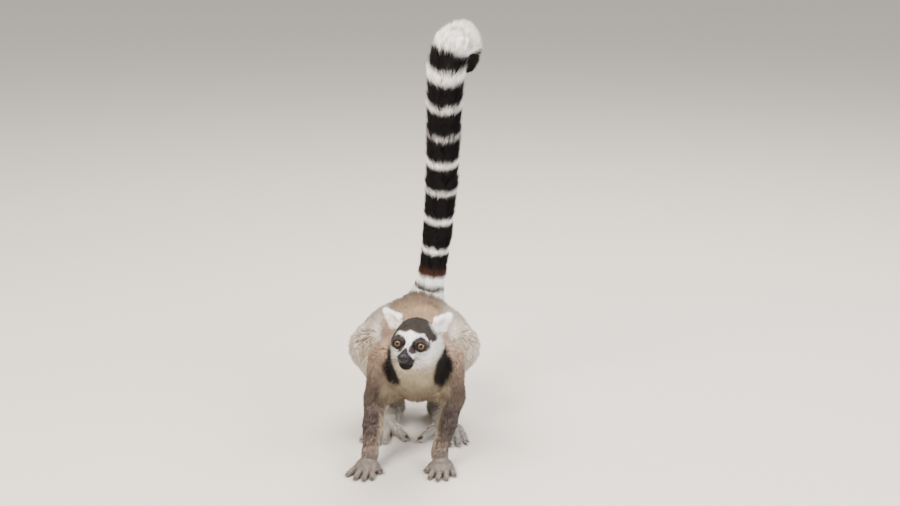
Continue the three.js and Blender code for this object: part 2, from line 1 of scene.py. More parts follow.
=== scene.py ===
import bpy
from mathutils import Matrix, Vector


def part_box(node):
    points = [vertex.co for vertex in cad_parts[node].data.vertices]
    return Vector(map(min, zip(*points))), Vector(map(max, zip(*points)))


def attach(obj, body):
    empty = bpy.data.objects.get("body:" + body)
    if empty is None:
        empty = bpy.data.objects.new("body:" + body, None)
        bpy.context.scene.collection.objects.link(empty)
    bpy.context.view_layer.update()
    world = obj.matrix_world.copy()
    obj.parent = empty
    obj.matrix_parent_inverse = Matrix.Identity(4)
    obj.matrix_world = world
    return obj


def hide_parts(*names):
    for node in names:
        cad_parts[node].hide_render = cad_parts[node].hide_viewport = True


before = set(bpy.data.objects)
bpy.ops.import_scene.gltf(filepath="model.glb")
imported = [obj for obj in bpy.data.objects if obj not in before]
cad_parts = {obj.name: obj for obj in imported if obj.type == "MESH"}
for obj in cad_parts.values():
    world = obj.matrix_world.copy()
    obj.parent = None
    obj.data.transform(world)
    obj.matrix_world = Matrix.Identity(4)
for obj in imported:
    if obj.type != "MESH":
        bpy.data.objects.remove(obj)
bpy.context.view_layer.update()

import bmesh
import bpy
import numpy as np
from mathutils import Matrix

# -------------------- place and camera
# The lemur's own measures are in millimetres, with the floor at z = 0. It faces -Y and its
# left is at +X. The eye solids carry the measures over to the frame.
EYE_SIDE, EYE_BACK, EYE_RADIUS = 14.4, 1.5, 8.6
HEAD_AT = np.array([-2.5, -68.0, 195.0])
HEAD_PITCH, HEAD_YAW, HEAD_ROLL = np.radians([8.0, 13.0, 3.3])


def turn(axis, angle):
    """The 3 x 3 matrix that turns a point by an angle about one axis, by the right-hand rule."""
    return np.array(Matrix.Rotation(angle, 3, axis))


HEAD_TURN = turn("Z", -HEAD_YAW) @ turn("X", -HEAD_PITCH) @ turn("Y", HEAD_ROLL)


def from_head(q):
    """Points in the head's own frame, whose origin is midway between the eyes and which looks
    along -Y, as points in the lemur's millimetres."""
    return HEAD_AT + np.asarray(q, float) @ HEAD_TURN.T


SIDES = {"right": -1, "left": 1}
EYES = {side: from_head([s * EYE_SIDE, -EYE_BACK, 0]) for side, s in SIDES.items()}
eye_middles = [np.mean([list(c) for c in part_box(f"eye_{s}")], axis=0) for s in EYES]
SHIFT = 1000 * np.mean(eye_middles, axis=0) - np.mean(list(EYES.values()), axis=0)
SHIFT[2] = 0.0


def to_frame(points):
    """Points in the lemur's millimetres, as metres in the frame."""
    return (np.asarray(points, float) + SHIFT) / 1000


def new_object(name, data):
    """An object with this camera, lamp or mesh for its data, linked to the scene."""
    made = bpy.data.objects.new(name, data)
    bpy.context.collection.objects.link(made)
    return made


CAMERA_AT = [45.9, -1964, 795]
CAMERA_DOWN = np.radians(14.3)
camera_data = bpy.data.cameras.new("camera")
camera_data.sensor_width = 36
camera_data.lens = 64
camera = new_object("camera", camera_data)
camera.location = to_frame(CAMERA_AT)
camera.rotation_euler = (np.pi / 2 - CAMERA_DOWN, 0, 0)
bpy.context.scene.camera = camera

# -------------------- studio
# A pale matt floor that runs far back, soft light from every side, and three large soft lamps
# that hang high: a key and a fill in front, to either side, and one over the back.


def colour(hex_code):
    """The linear red, green and blue of a #rrggbb colour."""
    c = np.array([int(hex_code[i : i + 2], 16) for i in (1, 3, 5)]) / 255
    return np.where(c < 0.04045, c / 12.92, ((c + 0.055) / 1.055) ** 2.4)


def principled(name, **sockets):
    """A material with these values on its shader's sockets. Gives it, its node tree and its shader."""
    material = bpy.data.materials.new(name)
    material.use_nodes = True
    shader = material.node_tree.nodes["Principled BSDF"]
    for socket, value in sockets.items():
        shader.inputs[socket.replace("_", " ")].default_value = value
    return material, material.node_tree, shader


def grid_faces(rows, columns, wrap=False):
    """Quads over a grid of points, row after row. With wrap, the last column meets the first."""
    r, c = np.meshgrid(np.arange(rows - 1), np.arange(columns - (not wrap)), indexing="ij")
    a, b = (r * columns + c).ravel(), (r * columns + (c + 1) % columns).ravel()
    return np.stack([a, b, b + columns, a + columns], axis=1)


def new_piece(name, points, faces, material):
    """A smooth object at the origin whose mesh has these points, in metres, and these faces."""
    mesh = bpy.data.meshes.new(name)
    mesh.vertices.add(len(points))
    mesh.vertices.foreach_set("co", np.asarray(points, np.float32).ravel())
    faces = np.asarray(faces, np.int32)
    mesh.loops.add(faces.size)
    mesh.loops.foreach_set("vertex_index", faces.ravel())
    mesh.polygons.add(len(faces))
    mesh.polygons.foreach_set("loop_start", np.arange(0, faces.size, faces.shape[1], dtype=np.int32))
    mesh.polygons.foreach_set("use_smooth", np.full(len(faces), True))
    mesh.update(calc_edges=True)
    mesh.materials.append(material)
    return new_object(name, mesh)


floor_finish, _, _ = principled("floor", Base_Color=(*colour("#c4beb6"), 1), Roughness=0.9)
FLOOR_HALF, FLOOR_LINES = 30, 9  # metres from its middle, and lines of points each way
lines = np.linspace(-FLOOR_HALF, FLOOR_HALF, FLOOR_LINES)
floor_points = np.stack(np.meshgrid(lines, lines, [0.0], indexing="ij"), -1).reshape(-1, 3)
floor = new_piece("floor", floor_points, grid_faces(FLOOR_LINES, FLOOR_LINES)[:, ::-1], floor_finish)

world = bpy.data.worlds.new("studio")
world.use_nodes = True
sky = world.node_tree.nodes["Background"]
sky.inputs["Color"].default_value = (*colour("#f4f2ee"), 1)
sky.inputs["Strength"].default_value = 1.0
bpy.context.scene.world = world
LAMP_TARGET = (0, 0, 0.2)


def soft_lamp(name, at, size, watts, shade):
    """A square area lamp of a size in metres, aimed from its place in the frame at the target."""
    data = bpy.data.lights.new(name, "AREA")
    data.size, data.energy, data.color = size, watts, colour(shade)
    lamp = new_object(name, data)
    x, y, z = np.array(at) - LAMP_TARGET
    lamp.rotation_euler = (np.arctan2(np.hypot(x, y), z), 0, np.arctan2(x, -y))
    lamp.location = at


soft_lamp("key", (-1.1, -1.4, 2.1), 1.2, 150, "#fff6ea")
soft_lamp("fill", (1.7, -1.5, 1.3), 1.6, 95, "#f3f5ff")
soft_lamp("top", (0.5, 0.9, 2.4), 1.5, 125, "#fffaf2")

# -------------------- body plan
# The animal's joints and girths over the coat. A shape is a field: a point's distance in
# millimetres outside it, negative inside, and shapes that meet are blended.
TRUNK = [  # middle line, half width, half height
    (2, 22, 144, 31, 38),
    (2, 60, 140, 39, 48),
    (0, 110, 136, 43, 50),
    (-3, 160, 131, 48, 51),
    (-2, 208, 128, 48, 52),
    (3, 246, 128, 38, 46),
]
TAIL = np.array([  # middle line and radius over the coat
    (5, 248, 138, 25),
    (14, 263, 166, 22),
    (20, 266, 195, 20),
    (28, 260, 258, 21.5),
    (34, 248, 330, 24),
    (37, 227, 405, 25.5),
    (39, 203, 478, 27),
    (42, 191, 512, 27.5),
    (49, 192, 533, 27.5),
    (60, 210, 541, 26),
    (67, 232, 529, 24),
    (69, 244, 511, 19),
    (69, 247, 500, 12),
], float)
ARMS = {
    "right": dict(
        shoulder=(-36, 22, 148), elbow=(-53, 50, 83), wrist=(-59, 8, 23), palm=(-62, -4, 9),
        knuckles=[(-54, -1), (-55, -12), (-62, -16), (-70, -14), (-75, -6)],
        tips=[(-44, -14), (-55, -37), (-66, -40), (-77, -36), (-88, -23)],
    ),
    "left": dict(
        shoulder=(40, 22, 147), elbow=(51, 48, 86), wrist=(32, 8, 23), palm=(34, -4, 9),
        knuckles=[(26, -1), (26, -12), (33, -16), (41, -14), (46, -6)],
        tips=[(14, -10), (19, -34), (30, -40), (41, -38), (52, -24)],
    ),
}
LEGS = {
    "right": dict(
        hip=(-41, 220, 124), thigh=(-62, 172, 115), knee=(-42, 126, 86), ankle=(-33, 203, 29),
        heel=(-32, 212, 11), instep=(-41, 160, 13), ball=(-52, 133, 10),
        knuckles=[(-36, 141), (-42, 128), (-50, 124), (-59, 125), (-66, 131)],
        tips=[(-14, 103), (-43, 93), (-54, 87), (-66, 90), (-76, 101)],
    ),
    "left": dict(
        hip=(35, 220, 124), thigh=(54, 172, 115), knee=(31, 126, 86), ankle=(27, 203, 29),
        heel=(26, 212, 11), instep=(35, 158, 13), ball=(45, 130, 10),
        knuckles=[(30, 140), (36, 127), (44, 123), (53, 124), (59, 131)],
        tips=[(5, 98), (36, 90), (47, 82), (59, 83), (69, 93)],
    ),
}


def blend(a, b, k):
    """The smaller of two distances, less (k - |a - b|) squared over 4k where they differ by under k."""
    near = np.maximum(k - np.abs(a - b), 0)
    return np.minimum(a, b) - near * near / (4 * k)


def rod(p, a, b):
    """Distance to a rod between two balls, each (x, y, z, radius), with the radius running evenly."""
    a, b = np.asarray(a, float), np.asarray(b, float)
    along = b[:3] - a[:3]
    t = np.clip((p - a[:3]) @ along / (along @ along), 0, 1)
    return np.linalg.norm(p - a[:3] - t[:, None] * along, axis=1) - a[3] - t * (b[3] - a[3])


def rods(p, balls, k=6):
    """Rods end to end through balls, blended over k."""
    d = rod(p, balls[0], balls[1])
    for a, b in zip(balls[1:-1], balls[2:]):
        d = blend(d, rod(p, a, b), k)
    return d


def egg(p, centre, half):
    """Distance to an egg, about: k0 (k0 - 1) / k1, from the point scaled by the half sizes once and twice."""
    u = (p - np.asarray(centre, float)) / half
    k0 = np.linalg.norm(u, axis=1)
    return k0 * (k0 - 1) / np.maximum(np.linalg.norm(u / half, axis=1), 1e-9)


def in_head(p):
    """Points in the lemur's millimetres, as points in the head's own frame."""
    return (p - HEAD_AT) @ HEAD_TURN


def trunk_field(p):
    """Rods along the trunk, each section squeezed sideways to its own width."""
    d = None
    for (ax, ay, az, aw, ah), (bx, by, bz, bw, bh) in zip(TRUNK, TRUNK[1:]):
        t = np.clip((p[:, 1] - ay) / (by - ay), 0, 1)
        squeeze = ah / aw + t * (bh / bw - ah / aw)
        middle = ax + t * (bx - ax)
        q = p.copy()
        q[:, 0] = middle + (p[:, 0] - middle) * squeeze
        part = rod(q, (ax, ay, az, ah), (bx, by, bz, bh)) / np.maximum(squeeze, 1)
        d = part if d is None else blend(d, part, 8)
    return d


def head_field(p):
    """Skull, brow, muzzle, jaw and cheeks, with a hollow round each eye."""
    q = in_head(p)
    skull, forehead = egg(q, (0, 23, 6), (25.5, 31, 25)), egg(q, (0, 5, 7), (22.5, 16, 16))
    muzzle = rods(q, [(0, 0, -6, 14.5), (0, -20, -10.5, 10), (0, -32, -13, 7.6)])
    upper_lip = rods(q, [(0, -12, -17, 9), (0, -27, -18, 7)])
    jaw = rods(q, [(0, 8, -20, 12), (0, -12, -22, 8), (0, -24, -22.5, 5.5)])
    d = blend(skull, forehead, 8)
    for s in (-1, 1):
        d = blend(d, egg(q, (s * 13.5, 20, -8), (12, 21, 17)), 9)  # cheek
    for part, k in ((muzzle, 9), (upper_lip, 5), (jaw, 5)):
        d = blend(d, part, k)
    for s in (-1, 1):
        d = blend(d, egg(q, (s * EYE_SIDE * 0.95, -1, 8.5), (9, 8, 5.5)), 5)  # brow
        d = blend(d, egg(q, (s * EYE_SIDE * 1.02, 1, -9), (8, 11, 7.5)), 5)  # cheekbone
    for s in (-1, 1):
        d = -blend(-d, egg(q, (s * EYE_SIDE, -EYE_BACK - 7, 0), (9.5, 6.5, 9)), 4)
    return d


def unit(v):
    """Vectors scaled to length 1."""
    return v / np.maximum(np.linalg.norm(v, axis=-1, keepdims=True), 1e-9)


# Each ear's base and tip in the head's frame.
EARS = {"right": ((-19, 27, 13), (-45, 34, 33)), "left": ((19, 27, 13), (39, 34, 37))}


def ear_frame(side):
    """An ear's middle, its ways across, up and front in the head's frame, and half its length."""
    base, tip = np.array(EARS[side], float)
    up = unit(tip - base)
    out = np.array([SIDES[side] * 0.35, -0.9, 0.2])
    front = unit(out - (out @ up) * up)
    ways = np.stack([np.cross(up, front), up, front], axis=1)
    return base + 0.42 * (tip - base), ways, 0.56 * np.linalg.norm(tip - base)


def ear_field(p, side):
    """A leaf-shaped egg, drawn in to a point by its own height, less the hollow in its front."""
    middle, ways, half = ear_frame(side)
    q = (in_head(p) - middle) @ ways
    q[:, 0] *= 1 + np.maximum(q[:, 1] + 7, 0) / (half * 1.05)
    leaf, hollow = egg(q, (0, 0, 0), (9, half - 5, 4.2)), egg(q, (0, 0.5, 5.2), (7, (half - 5) * 0.8, 6))
    return -blend(-leaf, hollow, 1.6)


def mix(a, b, t):
    """The point a share t of the way from a to b."""
    return tuple((1 - t) * u + t * v for u, v in zip(a, b))


# Radii over the coat at each limb's joints, and halfway down its lower length.
SHOULDER_R, ELBOW_R, FOREARM_R, WRIST_R = 26, 15.5, 13.5, 11
HIP_R, THIGH_R, KNEE_R, CALF_R, ANKLE_R, HEEL_R, BALL_OF_FOOT_R = 37, 34, 25, 21, 14.5, 12, 11.5


def arm_field(p, arm):
    """An arm from the shoulder to the palm."""
    middle = mix(arm["elbow"], arm["wrist"], 0.5)
    elbow, wrist = (*arm["elbow"], ELBOW_R), (*arm["wrist"], WRIST_R)
    x, y, _ = arm["palm"]
    upper = rod(p, (*arm["shoulder"], SHOULDER_R), elbow)
    fore = rods(p, [elbow, (*middle, FOREARM_R), wrist])
    palm = blend(egg(p, (x, y - 3, 9), (16.5, 19, 10)), rod(p, wrist, (x, y + 6, 10, 9.5)), 8)
    return upper, blend(fore, palm, 5)


def leg_field(p, leg):
    """A leg from the hip to the ball of the foot."""
    knee, ankle = (*leg["knee"], KNEE_R), (*leg["ankle"], ANKLE_R)
    heel, ball = (*leg["heel"], HEEL_R), (*leg["ball"], BALL_OF_FOOT_R)
    thigh = rods(p, [(*leg["hip"], HIP_R), (*leg["thigh"], THIGH_R), knee], 10)
    shin = rods(p, [knee, (*mix(leg["knee"], leg["ankle"], 0.45), CALF_R), ankle])
    sole = rods(p, [ankle, heel, (*leg["instep"], 13), ball])
    x, y, _ = leg["ball"]
    sole = blend(sole, egg(p, (x, y - 3, 9), (18.5, 16, 10)), 8)
    sole = blend(sole, rod(p, (x, y + 20, 10, 10), (*leg["knuckles"][0], 8.5, 9)), 6)
    return thigh, blend(shin, sole, 6)


def coat_field(p):
    """The lemur over its coat, less its ears, digits and tail."""
    d = blend(trunk_field(p), egg(p, (1, 52, 160), (34, 42, 29)), 14)  # withers
    d = blend(d, rods(p, [(3, -34, 178, 32), (2, 22, 150, 38)], 10), 16)  # neck
    d = blend(d, rods(p, [(-6, -50, 165, 19), (3, 10, 121, 27), (1, 60, 115, 30)], 10), 14)  # breast
    d = blend(d, rod(p, (26, -37, 191, 13), (22, -8, 158, 17)), 10)  # a ruff on the side it turns from
    d = blend(d, head_field(p), 9)
    for arm in ARMS.values():
        upper, fore = arm_field(p, arm)
        d = blend(blend(d, upper, 14), fore, 8)
    for leg in LEGS.values():
        thigh, shin = leg_field(p, leg)
        d = blend(blend(d, thigh, 18), shin, 5)
    return d


# -------------------- the coat's lie
# Under the fur the body follows a few lengths of bone. Each gives the fur over it: how deep it
# stands, how long its hairs are, how far they lift, how wide a tuft is, and which way it lies.


def strand(a, b, depth=0, length=0, lift=0, width=0, flow=None):
    """One length of the body from ball a to ball b, with its fur in millimetres and degrees. It
    lies from a to b where no flow is given, and on the head and tail fur_at adds what is left out."""
    a, b = np.asarray(a, float), np.asarray(b, float)
    flow = b[:3] - a[:3] if flow is None else np.asarray(flow, float)
    return dict(a=a, b=b, fur=(depth, length, lift, width), flow=unit(flow))


STRANDS = {
    "nape": strand((3, -34, 182, 27), (2, 30, 156, 34), 11, 27, 24, 1.3, (0.03, 1, -0.35)),
    "throat": strand((-6, -50, 165, 19), (3, 10, 121, 27), 9, 24, 24, 1.2, (0.05, 0.55, -0.85)),
    "chest": strand((2, 0, 130, 30), (2, 60, 112, 30), 9, 24, 22, 1.3, (0, 0.75, -0.65)),
    "back": strand((2, 30, 150, 36), (-2, 225, 136, 46), 12, 31, 23, 1.5, (0, 1, -0.12)),
    "belly": strand((2, 60, 118, 30), (-2, 215, 112, 42), 9, 26, 22, 1.5, (0, 1, -0.25)),
    "rump": strand((-2, 225, 138, 44), (5, 252, 134, 34), 12, 32, 26, 1.5, (0.02, 0.8, -0.6)),
}
for side, arm in ARMS.items():
    upper, elbow = (*arm["shoulder"], SHOULDER_R), (*arm["elbow"], ELBOW_R)
    wrist = (*arm["wrist"], WRIST_R)
    hand_lie = (SIDES[side] * 0.15, -1, -0.3)
    STRANDS[f"upper_arm_{side}"] = strand(upper, elbow, 8, 23, 22, 1.3)
    STRANDS[f"forearm_{side}"] = strand(elbow, wrist, 4, 13, 20, 1.0)
    STRANDS[f"hand_{side}"] = strand(wrist, (*arm["palm"], 10), 1.5, 5, 18, 0.6, hand_lie)
for side, leg in LEGS.items():
    out = SIDES[side] * 0.1
    hip, thigh = (*leg["hip"], HIP_R), (*leg["thigh"], THIGH_R)
    knee, ankle = (*leg["knee"], KNEE_R), (*leg["ankle"], ANKLE_R)
    STRANDS[f"hip_{side}"] = strand(hip, thigh, 12, 32, 24, 1.5, (out, 0.45, -0.9))
    STRANDS[f"thigh_{side}"] = strand(thigh, knee, 10, 27, 23, 1.4, (out, 0.15, -1))
    STRANDS[f"shin_{side}"] = strand((*leg["knee"], 23), ankle, 5, 15, 20, 1.1)
    STRANDS[f"foot_{side}"] = strand((*leg["heel"], 11.5), (*leg["ball"], 11.5), 1.8, 7.5, 22, 0.75)
# The tail under its fur: the same middle line, with the bone and hide's own radius.
TAIL_SKIN = TAIL.copy()
TAIL_SKIN[:, 3] = np.interp(np.arange(len(TAIL)), [0, 1, 2, 12], [17, 13, 11.5, 6])
LOW_TAIL = 4  # lengths of the tail below the parting of its two coat pieces
for i, (a, b) in enumerate(zip(TAIL, TAIL[1:])):
    STRANDS[f"tail_{'low' if i < LOW_TAIL else 'high'}_{i}"] = strand(a, b)
STRANDS["face"] = strand((*from_head([0, -30, -13]), 8), (*from_head([0, 0, -4]), 20))
STRANDS["crown"] = strand((*from_head([0, 0, 0]), 22), (*from_head([0, 26, 0]), 30))
for side, (base, tip) in EARS.items():
    base, tip = from_head(base), from_head(tip)
    STRANDS[f"ear_{side}"] = strand((*(base + 0.35 * (tip - base)), 7), (*tip, 7), 6, 6, 13, 0.6)
NAMES = list(STRANDS)


def numbers(*starts):
    """The numbers of the strands whose names start so."""
    return [i for i, name in enumerate(NAMES) if name.startswith(starts)]


def shares(p, soft=5.0):
    """How much each strand owns of each point: exp(-distance / soft), scaled to add up to one."""
    d = np.stack([rod(p, s["a"], s["b"]) for s in STRANDS.values()], axis=1)
    w = np.exp(-(d - d.min(axis=1, keepdims=True)) / soft)
    return w / w.sum(axis=1, keepdims=True)


def ramp(x, low, high):
    """0 below low, 1 above high, and the smooth step 3t² - 2t³ between."""
    t = np.clip((x - low) / (high - low), 0, 1)
    return t * t * (3 - 2 * t)


def tail_place(p):
    """How far along the tail a point is, in millimetres from its root, and which ball it is near."""
    best = np.full(len(p), np.inf)
    along, ball = np.zeros(len(p)), np.zeros(len(p))
    start = 0.0
    for i, (a, b) in enumerate(zip(TAIL[:, :3], TAIL[1:, :3])):
        step = b - a
        t = np.clip((p - a) @ step / (step @ step), 0, 1)
        d = np.linalg.norm(p - a - t[:, None] * step, axis=1)
        nearer = d < best
        best = np.where(nearer, d, best)
        along = np.where(nearer, start + t * np.linalg.norm(step), along)
        ball = np.where(nearer, i + t, ball)
        start += np.linalg.norm(step)
    return along, ball


# Depth, length, lift and width of the fur over the muzzle and over the crown. On the tail it is
# as deep as the gap between coat and skin, with hairs this many times as long as it is deep.
MUZZLE_FUR, CROWN_FUR = np.array([1.2, 3.2, 16, 0.5]), np.array([6.7, 13.2, 22, 0.85])
TAIL_LONGER, TAIL_LIFT, TAIL_WIDTH = 2.1, 31, 1.25


def fur_at(p):
    """Depth, length, lift and width of the fur at each point, and the way it lies."""
    w = shares(p)
    fur = w @ np.array([s["fur"] for s in STRANDS.values()])
    flow = w @ np.array([s["flow"] for s in STRANDS.values()])
    q = in_head(p)
    head = w[:, numbers("face", "crown")].sum(axis=1)
    back = ramp(q[:, 1], -8, 24)
    low = ramp(-q[:, 2], 6, 24) * ramp(q[:, 1], -18, 6)
    fuller = np.maximum(back, 0.8 * low)[:, None]
    fur += head[:, None] * (MUZZLE_FUR + fuller * (CROWN_FUR - MUZZLE_FUR))
    outward = unit(q - [0, -34, -12])  # away from the nose
    flow += head[:, None] * ((outward + [0, 0.35, 0]) @ HEAD_TURN.T)
    tail = w[:, numbers("tail")].sum(axis=1)
    _, ball = tail_place(p)
    depth = np.interp(ball, np.arange(len(TAIL)), TAIL[:, 3] - TAIL_SKIN[:, 3])[:, None]
    fur += tail[:, None] * (depth * [1, TAIL_LONGER, 0, 0] + [0, 0, TAIL_LIFT, TAIL_WIDTH])
    for side in EARS:
        own = w[:, NAMES.index(f"ear_{side}")]
        middle, ways, half = ear_frame(side)
        e = (q - middle) @ ways
        fan = e[:, :1] * ways[:, 0] * 0.04
        fur[:, 1] += own * 5 * ramp(e[:, 1], -half * 0.6, half * 0.7)
        flow += own[:, None] * (fan @ HEAD_TURN.T)
    return fur, unit(flow)


# -------------------- skin
# The hide in one piece from nose to tail tip, hands and feet, lying under the fur by the fur's
# depth. It has the lids, nostrils, mouth line and finger joints, and shows bare only at the
# nose, lids, palms and soles.
LID = {"axis_out": 0.10, "axis_up": 0.05, "half_wide": 5.3, "half_high": 3.7, "thick": 1.6}
FINGER_R, THUMB_R, TOE_R, BIG_TOE_R = (3.4, 3.1, 2.5), (3.9, 3.6, 2.9), (3.8, 3.5, 2.8), (5.9, 5.6, 4.4)
KNUCKLE_HIGH = 8


def digit_balls(knuckle, tip, radii):
    """Balls at a digit's knuckle, two joints and tip, arched a little above the floor."""
    (kx, ky), (tx, ty) = knuckle, tip
    share = np.array([0.0, 0.4, 0.72, 0.93])
    high = np.interp(share, [0, 0.45, 1], [KNUCKLE_HIGH, radii[1] + 2.6, radii[2] - 0.4])
    r = np.interp(share, [0, 0.5, 1], radii)
    return [(kx + s * (tx - kx), ky + s * (ty - ky), h, q) for s, h, q in zip(share, high, r)]


DIGITS = {}
for side in SIDES:
    fingers, toes = ("finger", ARMS[side], FINGER_R, THUMB_R), ("toe", LEGS[side], TOE_R, BIG_TOE_R)
    for kind, limb, radii, big in (fingers, toes):
        for i, (knuckle, tip) in enumerate(zip(limb["knuckles"], limb["tips"])):
            DIGITS[f"{kind}_{side}_{i}"] = digit_balls(knuckle, tip, radii if i else big)


# The mouth line of one side, from under the nose to the corner, as balls in the head's frame.
LIPS = [(0, -38, -18.4, 0.7), (5, -34, -19.5, 0.8), (8.5, -22, -19.5, 0.9), (11.5, -9, -17.5, 0.7)]
NOSE_AT = (0, -37.2, -12.3)  # the middle of its bare skin


def lid_axis(s):
    """The way an eye's opening faces, in the head's frame."""
    return unit(np.array([s * LID["axis_out"], -1, LID["axis_up"]]))


def mirrored(q):
    """Points in the head's frame with both its sides brought to the left."""
    return np.abs(q) * [1, 0, 0] + q * [0, 1, 1]


def face_details(p, d):
    """The skin field with nose pad, nostrils, mouth line, lids and open eyes worked into it."""
    m = mirrored(in_head(p))
    nostril, slit = egg(m, (3.5, -39.2, -12), (1.5, 2.6, 1.2)), egg(m, (5.6, -37.6, -11.2), (1.5, 2.2, 0.7))
    groove, dent = rod(m, (0, -40, -13, 0.5), (0, -37.5, -18, 0.6)), egg(m, (0, -37.6, -5.5), (1.1, 3, 1))
    d = blend(d, egg(m, (0, -35.5, -11.5), (6.2, 4.2, 4.6)), 2.5)
    for cut, k in ((nostril, 0.8), (slit, 0.8), (groove, 1), (rods(m, LIPS, 1), 1.4), (dent, 2)):
        d = -blend(-d, cut, k)
    eye = m - [EYE_SIDE, -EYE_BACK, 0]
    axis = lid_axis(1)
    across = unit(np.cross([0, 0, 1], axis))
    up = np.cross(axis, across)
    out, side, high = eye @ axis, eye @ across, eye @ up
    ball = np.linalg.norm(eye, axis=1)
    d = blend(d, ball - EYE_RADIUS - LID["thick"], 3)
    # The opening is an almond about the axis, pulled a little down at its inner corner.
    almond = np.hypot(side / LID["half_wide"], (high + 0.06 * side) / LID["half_high"]) - 1
    opening = np.where(out > 0, almond * LID["half_high"], 9)
    return -blend(-d, np.maximum(opening, EYE_RADIUS - 3.5 - out), 1.0)


def within(p, middle, radius):
    """Whether each point is closer to a middle than a radius."""
    return np.linalg.norm(p - np.array(middle), axis=1) < radius


def skin_field(p):
    """The coat's field drawn in by the fur's depth, with the tail, the digits and the face worked in."""
    fur, _ = fur_at(p)
    d = coat_field(p) + fur[:, 0]
    d = blend(d, rods(p, TAIL_SKIN, 5), 10)
    low = p[:, 2] < 26
    part = d[low]
    for balls in DIGITS.values():
        part = blend(part, rods(p[low], balls, 1.5), 2.5)
    d[low] = part
    q = in_head(p)
    near = within(q, (0, -12, -4), 46)
    d[near] = face_details(p[near], d[near])
    for side, (base, tip) in EARS.items():
        near = within(q, mix(base, tip, 0.5), 40)
        d[near] = blend(d[near], ear_field(p[near], side), 3)
    return np.maximum(d, 0.3 - p[:, 2])  # soles pressed flat on the floor


def slope(field, p, step=0.4):
    """A field's gradient, from its values a step to each side along each axis."""
    return np.stack([field(p + e) - field(p - e) for e in np.eye(3) * step], axis=1) / (2 * step)


def on_to(field, p, rounds):
    """Points moved on to a field's surface: p less field times slope over slope squared."""
    for _ in range(rounds):
        g = slope(field, p)
        p = p - np.clip(field(p), -2, 2)[:, None] * g / np.maximum((g * g).sum(axis=1), 0.2)[:, None]
    return p


def surface(field, low, high, cell, skip=4):
    """The closed surface where a field is zero: a point in each cell that it crosses, at the
    middle of its crossings of the cell's edges, and a quad round each crossed edge. The field
    is first read a few cells apart, by skip, and in full only near the surface."""
    n = [int(np.ceil((h - l) / cell / skip)) * skip + 1 for l, h in zip(low, high)]
    axes = [l + cell * np.arange(k) for l, k in zip(low, n)]
    rough = np.stack(np.meshgrid(*[a[::skip] for a in axes], indexing="ij"), -1)
    value = field(rough.reshape(-1, 3)).reshape(rough.shape[:3])
    for axis in range(3):
        value = np.repeat(value, skip, axis=axis)
    first = skip // 2
    value = value[first : first + n[0], first : first + n[1], first : first + n[2]]
    value = np.pad(value, [(0, k - s) for k, s in zip(n, value.shape)], mode="edge")
    i, j, k = np.nonzero(np.abs(value) < (skip + 1) * cell)
    value[i, j, k] = field(np.stack([axes[0][i], axes[1][j], axes[2][k]], axis=1))
    cells = [k - 1 for k in n]
    total, count = np.zeros((*cells, 3)), np.zeros(cells)
    orders = [(axis, (axis + 1) % 3, (axis + 2) % 3) for axis in range(3)]
    for order in orders:  # each axis in turn comes first, in views of the same arrays
        v, sums, hits = (np.moveaxis(array, order, (0, 1, 2)) for array in (value, total, count))
        a, b = v[:-1], v[1:]
        crossed = (a > 0) != (b > 0)
        t = np.where(crossed, a / np.where(crossed, a - b, 1), 0)
        for du in (0, 1):
            for dw in (0, 1):
                edge = np.s_[:, du : v.shape[1] - 1 + du, dw : v.shape[2] - 1 + dw]
                sums[..., order[0]] += t[edge]
                sums[..., order[1]] += du * crossed[edge]
                sums[..., order[2]] += dw * crossed[edge]
                hits += crossed[edge]
    live = count > 0
    number = np.full(count.shape, -1)
    number[live] = np.arange(live.sum())
    points = np.asarray(low) + cell * (np.argwhere(live) + total[live] / count[live][:, None])
    faces = []
    for order in orders:
        v, num = np.moveaxis(value, order, (0, 1, 2)), np.moveaxis(number, order, (0, 1, 2))
        a, b = v[:-1, 1:-1, 1:-1], v[1:, 1:-1, 1:-1]
        i, j, k = np.nonzero((a > 0) != (b > 0))
        quad = np.stack([num[i, j, k], num[i, j + 1, k], num[i, j + 1, k + 1], num[i, j, k + 1]], axis=1)
        inward = v[i, j + 1, k + 1] > 0
        quad[inward] = quad[inward][:, ::-1]
        faces.append(quad)
    return points, np.concatenate(faces)


SKIN_CELL, SKIN_LOW, SKIN_HIGH = 2.3, (-110, -125, -6), (112, 290, 580)
skin_points, skin_faces = surface(skin_field, SKIN_LOW, SKIN_HIGH, SKIN_CELL)
skin_points = on_to(skin_field, skin_points, 1)


def fine_share(p):
    """Where the skin needs a finer mesh: 1 on face, ears, hands and feet, 2 round the eyes and nose."""
    q = in_head(p)
    face, paws = within(q, (0, -12, -6), 40), p[:, 2] < 20
    ears = np.minimum(ear_field(p, "right"), ear_field(p, "left")) < 2.5
    eyes, nose = within(mirrored(q), (EYE_SIDE, -EYE_BACK, 0), 13.5), within(q, (0, -36, -14), 11)
    return (face | paws | ears).astype(int) + (eyes | nose)


skin_finish, skin_tree, skin_shader = principled("skin", Specular_IOR_Level=0.3)
skin = new_piece("skin", skin_points, skin_faces, skin_finish)
work = bmesh.new()
work.from_mesh(skin.data)
for level in (1, 2):
    wanted = fine_share(np.array([v.co for v in work.verts])) >= level
    work.verts.ensure_lookup_table()
    edges = [e for e in work.edges if wanted[e.verts[0].index] and wanted[e.verts[1].index]]
    bmesh.ops.subdivide_edges(work, edges=edges, cuts=1, use_grid_fill=True)
    work.verts.index_update()
work.to_mesh(skin.data)
work.free()


def read(items, what, width, kind=np.float32):
    """One property of every item of a mesh, as an array with a row for each."""
    values = np.empty(len(items) * width, kind)
    items.foreach_get(what, values)
    return values.reshape(-1, width) if width > 1 else values


